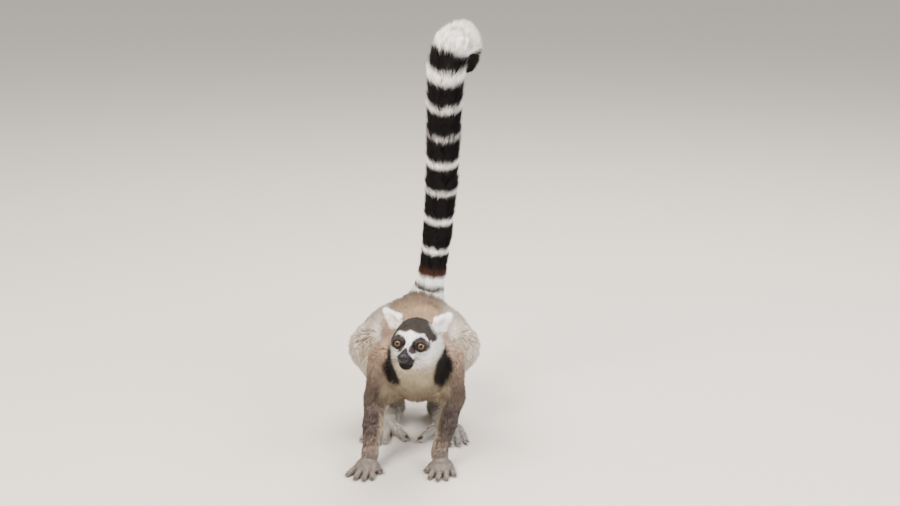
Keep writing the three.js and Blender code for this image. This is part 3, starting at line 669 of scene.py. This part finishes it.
skin_points = on_to(skin_field, read(skin.data.vertices, "co", 3).astype(float), 2)
skin.data.vertices.foreach_set("co", to_frame(skin_points).astype(np.float32).ravel())
skin.data.update()
skin.data.polygons.foreach_set("use_smooth", np.full(len(skin.data.polygons), True))

# The hide is laid flat piece by piece, and every tuft keeps the place of its root on it.
bpy.context.view_layer.objects.active = skin
skin.select_set(True)
skin.data.uv_layers.new(name="OFBake")
bpy.ops.object.mode_set(mode="EDIT")
bpy.ops.mesh.select_all(action="SELECT")
bpy.ops.uv.smart_project(angle_limit=np.radians(60), island_margin=0.001)
bpy.ops.object.mode_set(mode="OBJECT")

# -------------------- markings
# White face and ears under a dark cap, dark rings round the eyes and a dark muzzle; cream throat,
# belly and inner limbs, black sides to the neck, a warm grey-brown back, pale haunches, grey
# hands and feet, and a tail ringed in black and white.
FUR = {name: colour(code) for name, code in {
    "white": "#f8f5ef", "cream": "#b9ac94", "back": "#7d6d60", "tan": "#c9a789",
    "flank": "#a39b93", "haunch": "#d2cac0", "cap": "#3a3431", "patch": "#3e3535",
    "socket": "#1b1514", "muzzle": "#302e31", "chin": "#1d1a1a", "nose": "#0b0b0c",
    "neck": "#181514", "nape": "#796c62", "shoulder": "#86776d", "arm": "#5b504c",
    "inner": "#a89a84", "hand": "#877e76", "foot": "#bdb6ad", "pad": "#3a3533",
    "black": "#0f0c0c", "ring": "#f1ece3", "rust": "#4a2e22", "lid": "#171110",
    "inside": "#cdb6ae", "breast_in_shade": "#6f6152",
}.items()}
# Where each black ring starts and ends, in millimetres from the tail's root, along its middle.
RINGS_AT = [
    (44, 51), (66, 103), (109, 149), (156, 195), (201, 239), (246, 285),
    (287, 327), (334, 372), (388, 412), (422, 428), (468, 600),
]
# The dark patch on each side of the neck, as an egg's middle and half sizes.
NECK_SIDES = {"right": ((-29.5, -14, 143), (13, 38, 30)), "left": ((38.5, -12, 144), (13, 34, 42))}


def tint(base, name, share, colours=FUR):
    """A named colour laid over another by a share from 0 to 1 at each point."""
    return base + share[:, None] * (colours[name] - base)


def bump_noise(p, size, seed):
    """Smooth noise, seldom past -1 and 1: 1.6 times the mean of six sine waves of about that size,
    in directions that the seed sets."""
    draw = np.random.default_rng(seed)
    waves = draw.normal(size=(6, 3))
    waves *= 2 * np.pi / size / np.linalg.norm(waves, axis=1, keepdims=True)
    return np.sin(p @ waves.T + draw.uniform(0, 6.3, 6)).mean(axis=1) * 1.6


def markings(p, n):
    """The coat's colour at points p, on a surface that faces n."""
    w = shares(p, 4.0)
    own = {name: w[:, i] for i, name in enumerate(NAMES)}
    (_, y, z), (nx, ny, nz) = p.T, n.T
    top, under = ramp(nz, 0.15, 0.85), ramp(-nz, 0.0, 0.6)
    c = tint(np.tile(FUR["flank"], (len(p), 1)), "back", top)
    saddle = ramp(nz, -0.35, 0.6) * ramp(-np.abs(y - 85) + 12 * bump_noise(p, 40, 8), -150, -40)
    c = tint(c, "tan", np.clip(saddle * (0.8 + 0.3 * bump_noise(p, 60, 1)), 0, 1))
    c = tint(c, "cream", under)
    c = tint(c, "nape", own["nape"] * ramp(nz, -0.3, 0.5) * ramp(-y, -25, 5))
    front = np.clip(own["throat"] + own["chest"] + 0.6 * own["nape"], 0, 1)
    c = tint(c, "cream", front * ramp(-nz - ny, -0.5, 0.3) * ramp(-z, -182, -160))
    # Painted shade: the lower breast is darkened where shade falls under the throat and between the arms.
    c = tint(c, "breast_in_shade", front * ramp(-z + 5 * bump_noise(p, 22, 7), -138, -98) * 0.8)
    for side, s in SIDES.items():
        limbs = ("upper_arm", "forearm", "hand", "hip", "thigh", "shin", "foot")
        arm, fore, hand, hip, thigh, shin, foot = (own[f"{limb}_{side}"] for limb in limbs)
        c = tint(c, "shoulder", arm)
        c = tint(c, "tan", arm * ramp(z, 105, 160) * 0.35)
        c = tint(c, "arm", arm * ramp(-z, -122, -86))
        c = tint(c, "cream", arm * ramp(-s * nx - 0.4 * ny, 0.1, 0.65) * ramp(-z, -132, -108))
        c = tint(c, "arm", fore)
        c = tint(c, "arm", hand * ramp(z, 22, 34))
        c = tint(c, "inner", fore * ramp(-s * nx, 0.45, 0.9))
        c = tint(c, "hand", hand * ramp(-z, -36, -20))
        c = tint(c, "haunch", (hip + thigh) * (1 - top * 0.4))
        c = tint(c, "flank", shin)
        front_in = ramp(-s * nx - 0.6 * ny - 0.3 * nz, -0.4, 0.3)
        c = tint(c, "cream", np.clip(hip + thigh + shin, 0, 1) * front_in)
        c = tint(c, "foot", foot)
    c = head_markings(p, tail_markings(p, c, own), own)
    for side, (centre, half) in NECK_SIDES.items():
        near = np.linalg.norm((p - centre) / half, axis=1) + 0.12 * bump_noise(p, 14, 3)
        c = tint(c, "neck", ramp(-near, -1.2, -0.8) * (1 - own[f"forearm_{side}"]))
    return c


def tail_markings(p, c, own):
    """Black rings from the tail's root to its bend, and a black tip, on white."""
    along, _ = tail_place(p)
    along = along + 1.6 * bump_noise(p, 9, 2)
    tail = sum(own[NAMES[i]] for i in numbers("tail"))
    c = tint(c, "ring", np.clip(tail * ramp(along, 10, 40), 0, 1))
    rings = [ramp(along, a - 1.5, a + 1.5) * ramp(-along, -b - 1.5, -b + 1.5) for a, b in RINGS_AT]
    black = tail * np.clip(sum(rings), 0, 1)
    c = tint(c, "black", black)
    smudge = 0.8 * np.clip(0.5 + 0.7 * bump_noise(p, 9, 9), 0, 1)  # grey over the bend
    c = tint(c, "flank", tail * ramp(along, 414, 420) * ramp(-along, -462, -440) * smudge)
    start, end = RINGS_AT[1]  # the lowest wide ring is rusty below its middle
    rust = ramp(-along, -0.5 * (start + end), -start) * (along > start - 3)
    return tint(c, "rust", black * rust * 0.8)


def head_markings(p, c, own):
    """The white mask under its dark cap, with dark round the eyes and over the muzzle."""
    q = in_head(p)
    x, y, z = np.abs(q[:, 0]), q[:, 1], q[:, 2]
    head = own["face"] + own["crown"] + own["ear_right"] + own["ear_left"]
    c = tint(c, "white", np.clip(head * 1.3, 0, 1))
    c = tint(c, "nape", np.clip(head * 1.3, 0, 1) * ramp(y, 30, 44) * ramp(z + 0.2 * y, -2, 14))
    lobe = np.where(q[:, 0] < 0, 0.2, 0.115) * np.maximum(x - 14.5, 0) ** 2
    low_edge = np.maximum(16.3 + 2.8 * np.exp(-((x / 4) ** 2)) - lobe, 4.0)
    low_edge += 0.9 * np.maximum(y - 21, 0) * ramp(x, 16, 25)
    cap = ramp(z - low_edge + 0.8 * bump_noise(q, 6, 4), -1.4, 1.4) * ramp(y, -12, -6)
    c = tint(c, "cap", np.clip(head * 1.2, 0, 1) * cap * ramp(-y, -62, -40))
    upper = 9.6 + 3.4 * np.exp(-(((x - EYE_SIDE - 2) / 4) ** 2))
    reach = np.hypot((x - EYE_SIDE - 0.2) / 11.8, (z - 0.4) / np.where(z > 0.4, upper, 8.6))
    reach += 0.06 * bump_noise(q, 5, 5)
    near_eye = ramp(-y, -4, 0)
    # Painted shadow: a thin grey arc under each eye, where the crease below the cheekbone is shaded.
    c = tint(c, "flank", 0.8 * np.exp(-(((reach - 1.36) / 0.09) ** 2)) * (z < -2) * near_eye * ramp(x, 9, 13))
    c = tint(c, "patch", ramp(-reach, -1.12, -0.86) * near_eye)
    c = tint(c, "socket", ramp(-reach, -0.68, -0.46) * near_eye * 0.9)
    low = -0.986 * z - 0.167 * y
    half = np.interp(low, [2.5, 8, 14, 20, 26, 29, 33, 37], [0, 4.0, 9.0, 12.0, 12.6, 10.5, 6, 0])
    snout = ramp(half - x + 0.5 * bump_noise(q, 4, 6), -0.9, 0.9) * ramp(-y, 11, 15)
    c = tint(c, "muzzle", snout)
    c = tint(c, "chin", snout * ramp(low, 21, 27))
    for side in EARS:
        middle, ways, half = ear_frame(side)
        e = (q - middle) @ ways
        ear = own[f"ear_{side}"]
        close = np.maximum(ramp(-ear_field(p, side), -6, -2.5), ramp(e[:, 1], -half * 0.2, half * 0.1))
        c = tint(c, "white", np.clip(ear * 1.5, 0, 1) * ramp(e[:, 1], -half * 0.75, -half * 0.5) * close)
        hollow = ramp(e[:, 2], -1.5, 0.5) * ramp(-np.hypot(e[:, 0] / 8, e[:, 1] / half), -0.95, -0.5)
        c = tint(c, "inside", ear * hollow * 0.4)
    return c


BARE_LID = 6.5  # the lids are bare this far from an eye's middle


def bare_markings(p, c):
    """Bare skin over the fur's colours: black nose, lids and lips, dark palms and soles."""
    m = mirrored(in_head(p))
    nose = ramp(-egg(m, NOSE_AT, (6.0, 4.6, 4.9)), -1.0, 0.2)
    from_eye = np.hypot(m[:, 0] - EYE_SIDE, m[:, 2])
    c = tint(c, "nose", nose)
    c = tint(c, "lid", ramp(-from_eye, -BARE_LID - 0.6, -BARE_LID + 0.4) * ramp(-m[:, 1], -6, 0))
    c = tint(c, "nose", ramp(-rods(m, LIPS, 1), -1.2, -0.2))
    return tint(c, "pad", ramp(-p[:, 2], -3, -1.5)), nose


skin_normals = read(skin.data.vertex_normals, "vector", 3)
skin_colours, skin_wet = bare_markings(skin_points, markings(skin_points, skin_normals))


def paint(mesh, name, values):
    """A colour for each point of a mesh, kept as a named attribute."""
    layer = mesh.attributes.new(name, "FLOAT_COLOR", "POINT")
    full = np.ones((len(values), 4), np.float32)
    full[:, :3] = values
    layer.data.foreach_set("color", full.ravel())


HIDE_TONE = 0.8  # the hide is darker than the tips of its fur
paint(skin.data, "markings", skin_colours * HIDE_TONE)
skin.data.attributes.new("wet", "FLOAT", "POINT").data.foreach_set("value", skin_wet.astype(np.float32))


def node(tree, kind, values=None, **settings):
    """A new shader node with these values on its sockets and these settings."""
    made = tree.nodes.new(f"ShaderNode{kind}")
    for key, value in settings.items():
        setattr(made, key, value)
    for socket, value in (values or {}).items():
        made.inputs[socket].default_value = value
    return made


def join(tree, *links):
    """Links between nodes, each given as a node, its output, the next node and its input."""
    for start, output, end, socket in links:
        tree.links.new(start.outputs[output], end.inputs[socket])


def marked(tree, shader):
    """The base colour is the mesh's own markings."""
    marks = node(tree, "Attribute", attribute_name="markings")
    join(tree, (marks, "Color", shader, "Base Color"))


def hide_finish(tree, shader):
    """Skin takes its markings, is dull but for the wet nose, and has fine creases and pebbling."""
    marked(tree, shader)
    wet = node(tree, "Attribute", attribute_name="wet")
    place = node(tree, "TexCoord")
    grain = node(tree, "TexVoronoi", {"Scale": 1400})
    crease = node(tree, "TexNoise", {"Scale": 500, "Detail": 4})
    both = node(tree, "Math", operation="ADD")
    bump = node(tree, "Bump", {"Strength": 0.35, "Distance": 0.0006})
    rough = node(tree, "MapRange", {"To Min": 0.75, "To Max": 0.3})
    join(tree, (place, "Object", grain, "Vector"), (place, "Object", crease, "Vector"))
    join(tree, (grain, "Distance", both, 0), (crease, "Fac", both, 1), (both, 0, bump, "Height"))
    join(tree, (bump, "Normal", shader, "Normal"))
    join(tree, (wet, "Fac", rough, "Value"), (rough, "Result", shader, "Roughness"))


hide_finish(skin_tree, skin_shader)
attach(skin, "root")
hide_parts(*[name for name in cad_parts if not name.startswith("eye")])

# -------------------- eyes
# A wet amber eye fills each opening of the lids, with a round dark pupil, fine streaks out to a
# dark rim, and a clear front that bulges a little.
IRIS = {name: colour(code) for name, code in {
    "pupil": "#030203", "inner": "#6e563a", "iris": "#5e4129",
    "outer": "#26120b", "rim": "#0d0706", "white": "#17100e",
}.items()}
BALL_R, PUPIL_R, IRIS_R, BULGE = EYE_RADIUS - 0.3, 2.1, 4.9, 0.55
EYE_RINGS, EYE_SPOKES = 56, 120


def angles_round(count):
    """Even angles once round, in radians."""
    return np.linspace(0, 2 * np.pi, count, endpoint=False)


def eyeball(middle, axis):
    """A ball about its axis of gaze, in rings from the front pole to the back one. The radius
    grows by the bulge times exp(-(angle / 0.5)²) near the axis. Gives each point's place, its
    angle from the axis and its angle round it."""
    angle = np.pi * np.linspace(0, 1, EYE_RINGS) ** 1.5
    side = unit(np.cross([0, 0, 1.0], axis))
    a, t = np.meshgrid(angle, angles_round(EYE_SPOKES), indexing="ij")
    r = BALL_R + BULGE * np.exp(-((a / 0.5) ** 2))
    round_axis = np.cos(t)[..., None] * side + np.sin(t)[..., None] * np.cross(axis, side)
    way = np.cos(a)[..., None] * axis + np.sin(a)[..., None] * round_axis
    return (middle + r[..., None] * way).reshape(-1, 3), a.ravel(), t.ravel()


def iris_colours(a, t):
    """Colours by distance from the axis: pupil, a lighter ring, streaked iris, dark outer ring and rim."""
    out = BALL_R * np.sin(np.minimum(a, np.pi / 2))
    streak = 0.5 + 0.28 * np.sin(31 * t + 2 * np.sin(7 * t)) + 0.22 * np.sin(67 * t + 3 * np.sin(5 * t))
    c = tint(IRIS["inner"], "iris", ramp(out, PUPIL_R + 0.3, PUPIL_R + 2), IRIS)
    c = c * (0.72 + 0.5 * streak[:, None])
    for name, low, high in (("outer", -2.2, -0.4), ("rim", -0.25, 0.2), ("white", 0.5, 1.2)):
        c = tint(c, name, ramp(out, IRIS_R + low, IRIS_R + high), IRIS)
    return tint(c, "pupil", ramp(-out, -PUPIL_R - 0.12, -PUPIL_R + 0.12) * (a < 1), IRIS)


def close_up(piece, open_sides=0):
    """Doubled points merged, open ends of so many sides filled, and every face turned outwards."""
    work = bmesh.new()
    work.from_mesh(piece.data)
    bmesh.ops.remove_doubles(work, verts=work.verts, dist=1e-7)
    if open_sides:
        bmesh.ops.holes_fill(work, edges=work.edges, sides=open_sides)
    bmesh.ops.recalc_face_normals(work, faces=work.faces)
    work.to_mesh(piece.data)
    work.free()


eye_finish, eye_tree, eye_shader = principled(
    "eye", Roughness=0.5, Specular_IOR_Level=0.1, Coat_Weight=0.6, Coat_Roughness=0.02
)
marked(eye_tree, eye_shader)
for side, middle in EYES.items():
    ball_points, ball_angle, ball_spin = eyeball(middle, HEAD_TURN @ lid_axis(SIDES[side]))
    ball_faces = grid_faces(EYE_RINGS, EYE_SPOKES, wrap=True)
    eye = new_piece(f"eyeball_{side}", to_frame(ball_points), ball_faces, eye_finish)
    paint(eye.data, "markings", iris_colours(ball_angle, ball_spin))
    close_up(eye)
    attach(eye, "root")
    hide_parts(f"eye_{side}")

# -------------------- nails
# A flat dark nail caps each finger and toe, but the second toe has a longer grooming claw that
# stands up. They are set in the skin of the tips.
MOTTLE = bpy.data.node_groups.new("mottle", "ShaderNodeTree")  # two tones mixed by noise
for name, kind in (("Dark", "Color"), ("Light", "Color"), ("Scale", "Float")):
    MOTTLE.interface.new_socket(name, in_out="INPUT", socket_type=f"NodeSocket{kind}")
MOTTLE.interface.new_socket("Color", in_out="OUTPUT", socket_type="NodeSocketColor")
given, result = MOTTLE.nodes.new("NodeGroupInput"), MOTTLE.nodes.new("NodeGroupOutput")
place, noise = node(MOTTLE, "TexCoord"), node(MOTTLE, "TexNoise")
tones = node(MOTTLE, "Mix", data_type="RGBA")
MIX_DARK, MIX_LIGHT, MIX_COLOUR = 6, 7, 2  # the mix node's sockets for colours
join(MOTTLE, (place, "Object", noise, "Vector"), (given, "Scale", noise, "Scale"))
join(MOTTLE, (noise, "Fac", tones, 0), (given, "Dark", tones, MIX_DARK))
join(MOTTLE, (given, "Light", tones, MIX_LIGHT), (tones, MIX_COLOUR, result, "Color"))


def mottled(name, dark, light, scale, **sockets):
    """A material mottled between two colours by noise of so many waves to the metre."""
    material, tree, shader = principled(name, **sockets)
    values = {"Dark": (*colour(dark), 1), "Light": (*colour(light), 1), "Scale": scale}
    mottle = node(tree, "Group", values, node_tree=MOTTLE)
    join(tree, (mottle, "Color", shader, "Base Color"))
    return material


def in_turn(faces, size, count):
    """The faces of a mesh of so many points, and of like meshes whose points follow in turn."""
    return (faces + size * np.arange(count)[:, None, None]).reshape(-1, faces.shape[1])


NAIL_STEPS, NAIL_SPOKES = 9, 14


def nail_points(balls, claw):
    """A flattened tube along the top of a tip. Its width is (4v(1-v)) to the power 0.35 times its
    most, and its height arches over the tip and falls towards its end. A claw rises instead."""
    (ax, ay, az, _), (bx, by, bz, r) = balls[-2:]
    ahead = unit(np.array([bx - ax, by - ay, 0]))
    across = np.array([-ahead[1], ahead[0], 0])
    v, t = np.meshgrid(np.linspace(0, 1, NAIL_STEPS), angles_round(NAIL_SPOKES), indexing="ij")
    width, reach, thick = (0.42, 1.922, 0.5) if claw else (0.78, 1.9, 0.28)
    full = 4 * v * (1 - v)
    side = width * r * full**0.35 * np.cos(t)
    rise = 0.9 * v**1.3 if claw else 0.16 * np.sin(np.pi * v) - 0.55 * v**2
    high = r * (0.98 + rise) - side**2 / (2.2 * r) + thick * full**0.3 * np.sin(t)
    along = r * (reach * v - 0.35)
    line = [bx, by, bz] + along[..., None] * ahead
    return (line + side[..., None] * across + high[..., None] * [0, 0, 1]).reshape(-1, 3)


nail_finish = mottled(
    "nail", "#171413", "#4a4340", 700, Roughness=0.38, Coat_Weight=0.25, Coat_Roughness=0.2
)
CLAWS = ("toe_right_1", "toe_left_1")
nail_all = np.concatenate([nail_points(balls, name in CLAWS) for name, balls in DIGITS.items()])
nail_faces = in_turn(grid_faces(NAIL_STEPS, NAIL_SPOKES, True), NAIL_STEPS * NAIL_SPOKES, len(DIGITS))
nails = new_piece("nails", to_frame(nail_all), nail_faces, nail_finish)
close_up(nails)
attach(nails, "root")

# -------------------- whiskers
# Stiff dark hairs, thin and tapering, rooted in the upper lip and the brow. They curve back with
# the head.
WHISKER_STEPS, WHISKER_SPOKES, WHISKER_R = 9, 5, 0.2
whisker_draw = np.random.default_rng(31)
WHISKERS = []  # root, way out and length in the head's frame
for s in SIDES.values():
    for row in range(3):
        for place in range(4):
            root = (s * (6.5 + 1.1 * place), -30 + 3.6 * place, -13.5 - 2 * row)
            WHISKERS.append((root, (s, -0.35, 0.1 - 0.28 * row), 15 + 2.5 * place))
    for place in range(3):
        way = (s * (0.15 + 0.3 * place), -0.6, 1)
        WHISKERS.append(((s * (9 + 3 * place), -7, 10.5), way, 12 + 2 * place))


def whisker_points(root, way, length):
    """A tube along a line that bends back and down by the square of its share, thinning to its tip."""
    way = unit(np.array(way)) + whisker_draw.normal(0, 0.08, 3)
    v = np.linspace(0, 1, WHISKER_STEPS)
    t = angles_round(WHISKER_SPOKES)
    line = np.array(root) + length * (v[:, None] * way + (v**2)[:, None] * [0, 0.5, -0.18])
    side = unit(np.cross(way, [0, 1, 0]))
    r = WHISKER_R * (1 - 0.85 * v)
    around = np.cos(t)[:, None] * side + np.sin(t)[:, None] * np.cross(side, way)
    return from_head((line[:, None] + r[:, None, None] * around).reshape(-1, 3))


whisker_finish = mottled("whisker", "#0e0c0c", "#37302d", 300, Roughness=0.45)
whisker_all = np.concatenate([whisker_points(*whisker) for whisker in WHISKERS])
whisker_faces = grid_faces(WHISKER_STEPS, WHISKER_SPOKES, True)
whisker_faces = in_turn(whisker_faces, WHISKER_STEPS * WHISKER_SPOKES, len(WHISKERS))
whiskers = new_piece("whiskers", to_frame(whisker_all), whisker_faces, whisker_finish)
close_up(whiskers, open_sides=WHISKER_SPOKES)
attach(whiskers, "root")

# -------------------- coat
# Guard hair over the skin in thousands of thin pointed tufts, rooted in the skin, lying along
# the body and drawn together in locks. Fur on the face, hands and feet is short and fine.
fur_finish, fur_tree, fur_shader = principled("fur", Roughness=0.78, Specular_IOR_Level=0.12)
marked(fur_tree, fur_shader)

skin.data.calc_loop_triangles()
triangles = skin.data.loop_triangles
corner = read(triangles, "vertices", 3, np.int32)
corner_uv = read(skin.data.uv_layers["OFBake"].data, "uv", 2)[read(triangles, "loops", 3, np.int32)]
triangle_area = read(triangles, "area", 1)
triangle_middle = skin_points[corner].mean(axis=1)
owner = np.argmax(shares(triangle_middle), axis=1)
PATCH = 0.003  # a tuft's share of the unwrap, across
TIP_TONE = 1.12  # tips are lighter than the coat's own colour, and roots are painted darker, as shade deep in the coat


def outline_field(p):
    """Distance outside the whole coat, tail and all."""
    return blend(coat_field(p), rods(p, TAIL, 6), 16)


def lay_down(p, target):
    """Points moved straight in or out until the coat's outline is the given distance away."""
    g = slope(outline_field, p, 1.0)
    off = outline_field(p) - target
    return p - off[:, None] * g / np.maximum((g * g).sum(axis=1), 0.3)[:, None]


def tuft_mesh(name, roots, normals, lie, fur, uv, draw, lock, hold, ragged, bent):
    """Tufts as three-sided spikes. A bent one rises through the coat at half its length and ends
    near the outline; a straight one stands at its lift. Each tip is drawn a share hold towards
    the mean tip of its lock. Its colours are the coat's where its outer half and its tip lie."""
    depth, length, lift, width = fur.T
    count = len(roots)
    lie = unit(lie - (lie * normals).sum(axis=1, keepdims=True) * normals)
    across = np.cross(normals, lie)
    swing = draw.normal(0, 0.16, count)[:, None]
    lie, across = lie * np.cos(swing) + across * np.sin(swing), across * np.cos(swing) - lie * np.sin(swing)
    length = length * draw.uniform(0.72, 1.2, count)
    lift = np.radians(lift) * draw.uniform(0.75, 1.25, count)

    def reach(share, tilt):
        """Along the lie and away from the skin by a share of the length."""
        return (share * length)[:, None] * (lie * np.cos(tilt)[:, None] + normals * np.sin(tilt)[:, None])

    middle = roots + reach(0.5, lift * 1.35)
    tip = middle + reach(0.5, lift * 0.55)
    if bent:
        middle = lay_down(middle, -depth * draw.uniform(0.35, 0.5, count))
        tip = lay_down(tip, -depth * draw.uniform(-ragged, 0.3, count))
    cell = np.floor((roots + 1.5 * draw.normal(size=roots.shape)) / lock).astype(int)
    _, group = np.unique(cell, axis=0, return_inverse=True)
    group = group.ravel()
    size = np.bincount(group)
    mean_tip = np.stack([np.bincount(group, tip[:, i]) for i in range(3)], axis=1) / size[:, None]
    tip = tip + hold * (mean_tip[group] - tip)
    middle = middle + 0.35 * hold * (mean_tip[group] - tip)
    own_colour, tip_colour = markings(0.45 * middle + 0.55 * tip, normals), markings(tip, normals)
    wide = (width * draw.uniform(0.7, 1.25, count))[:, None] / 2
    shade = draw.normal(1, 0.1, count) * draw.normal(1, 0.3 * ragged + 0.03, len(size))[group]
    # Painted shade: each tuft is darker at its root, so the gaps between locks look shaded.
    rings = [(roots - 0.5 * normals, 1.0, 0.8)]  # each ring's middle, girth and tone
    if bent:
        rings = [(roots - 0.8 * normals, 1.0, 0.56), (middle, 0.85, 1.0)]
    points, tones = [], []
    for centre, girth, tone in rings:
        half = across * wide * girth
        points += [centre + half, centre - half, centre + normals * wide * girth * 0.8]
        tones += [tone] * 3
    colours = [own_colour] * len(points) + [tip_colour]
    points.append(tip)
    tones.append(TIP_TONE)
    points = np.stack(points, axis=1)
    points[..., 2] = np.maximum(points[..., 2], 0.4)
    ends = len(tones) - 1
    faces = [(0, 2, 1)]
    for ring in range(0, ends - 3, 3):
        for a, b in ((0, 1), (1, 2), (2, 0)):
            faces += [(ring + a, ring + b, ring + 3 + b), (ring + a, ring + 3 + b, ring + 3 + a)]
    faces += [(ends - 3 + a, ends - 3 + b, ends) for a, b in ((0, 1), (1, 2), (2, 0))]
    faces = np.array(faces)
    step = len(tones)
    piece = new_piece(name, to_frame(points.reshape(-1, 3)), in_turn(faces, step, count), fur_finish)
    tone = np.clip(np.array(tones)[None, :, None] * shade[:, None, None], 0, 1.3)
    paint(piece.data, "markings", np.clip(np.stack(colours, axis=1) * tone, 0, 1).reshape(-1, 3))
    spin = angles_round(step)
    spots = np.stack([np.cos(spin), np.sin(spin)], axis=1) * PATCH / 2
    place = np.clip(uv, PATCH, 1 - PATCH)[:, None, None] + spots[faces][None]
    piece.data.uv_layers.new(name="OFBake").data.foreach_set("uv", place.astype(np.float32).ravel())
    return piece


def grow(name, here, count, seed, lock, hold, ragged=0.2, bent=True):
    """A coat piece of so many tufts, over the triangles of the skin picked by here. The tips stand
    out past the outline by up to the ragged share of the coat's depth."""
    draw = np.random.default_rng(seed)
    weight = triangle_area * here
    chosen = draw.choice(len(weight), count, p=weight / weight.sum())
    r1, r2 = np.sqrt(draw.uniform(size=count)), draw.uniform(size=count)
    share = np.stack([1 - r1, r1 * (1 - r2), r1 * r2], axis=1)
    roots = (skin_points[corner[chosen]] * share[..., None]).sum(axis=1)
    normals = unit((skin_normals[corner[chosen]] * share[..., None]).sum(axis=1))
    uv = (corner_uv[chosen] * share[..., None]).sum(axis=1)
    fur, lie = fur_at(roots)
    piece = tuft_mesh(name, roots, normals, lie, fur, uv, draw, lock, hold, ragged, bent)
    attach(piece, "root")
    return piece


def owned(*starts):
    """Triangles of the skin whose strand's name starts so."""
    return np.isin(owner, numbers(*starts))


in_face = mirrored(in_head(triangle_middle))
bare = (np.hypot(in_face[:, 0] - EYE_SIDE, in_face[:, 2]) < BARE_LID) & (in_face[:, 1] < 0)
bare |= egg(in_face, NOSE_AT, (5.4, 4.6, 4.4)) < 0.5
bare |= rods(in_face, LIPS, 1) < 0.5
bare |= triangle_middle[:, 2] < 2.2  # palms and soles
head_here = owned("face", "crown") & ~bare
fore = in_face[:, 1] < -3
grow("coat_face", head_here & fore, 24000, 11, lock=2.4, hold=0.2, bent=False)
grow("coat_crown", head_here & ~fore, 18000, 12, lock=4.5, hold=0.55)
grow("coat_ears", owned("ear"), 14000, 20, lock=2.5, hold=0.3, bent=False)
grow("coat_neck", owned("nape", "throat", "chest"), 17000, 13, lock=7, hold=0.52, ragged=0.3)
grow("coat_back", owned("back", "belly", "rump"), 19500, 14, lock=9, hold=0.55, ragged=0.3)
grow("coat_arms", owned("upper_arm", "forearm"), 17500, 15, lock=7, hold=0.55, ragged=0.3)
grow("coat_haunches", owned("hip", "thigh", "shin"), 19500, 16, lock=9, hold=0.52)
grow("coat_paws", owned("hand", "foot") & ~bare, 20000, 17, lock=2, hold=0.15, bent=False)
grow("coat_tail_low", owned("tail_low"), 17500, 18, lock=9, hold=0.5, ragged=0.3)
grow("coat_tail_high", owned("tail_high"), 18000, 19, lock=9, hold=0.5, ragged=0.25)
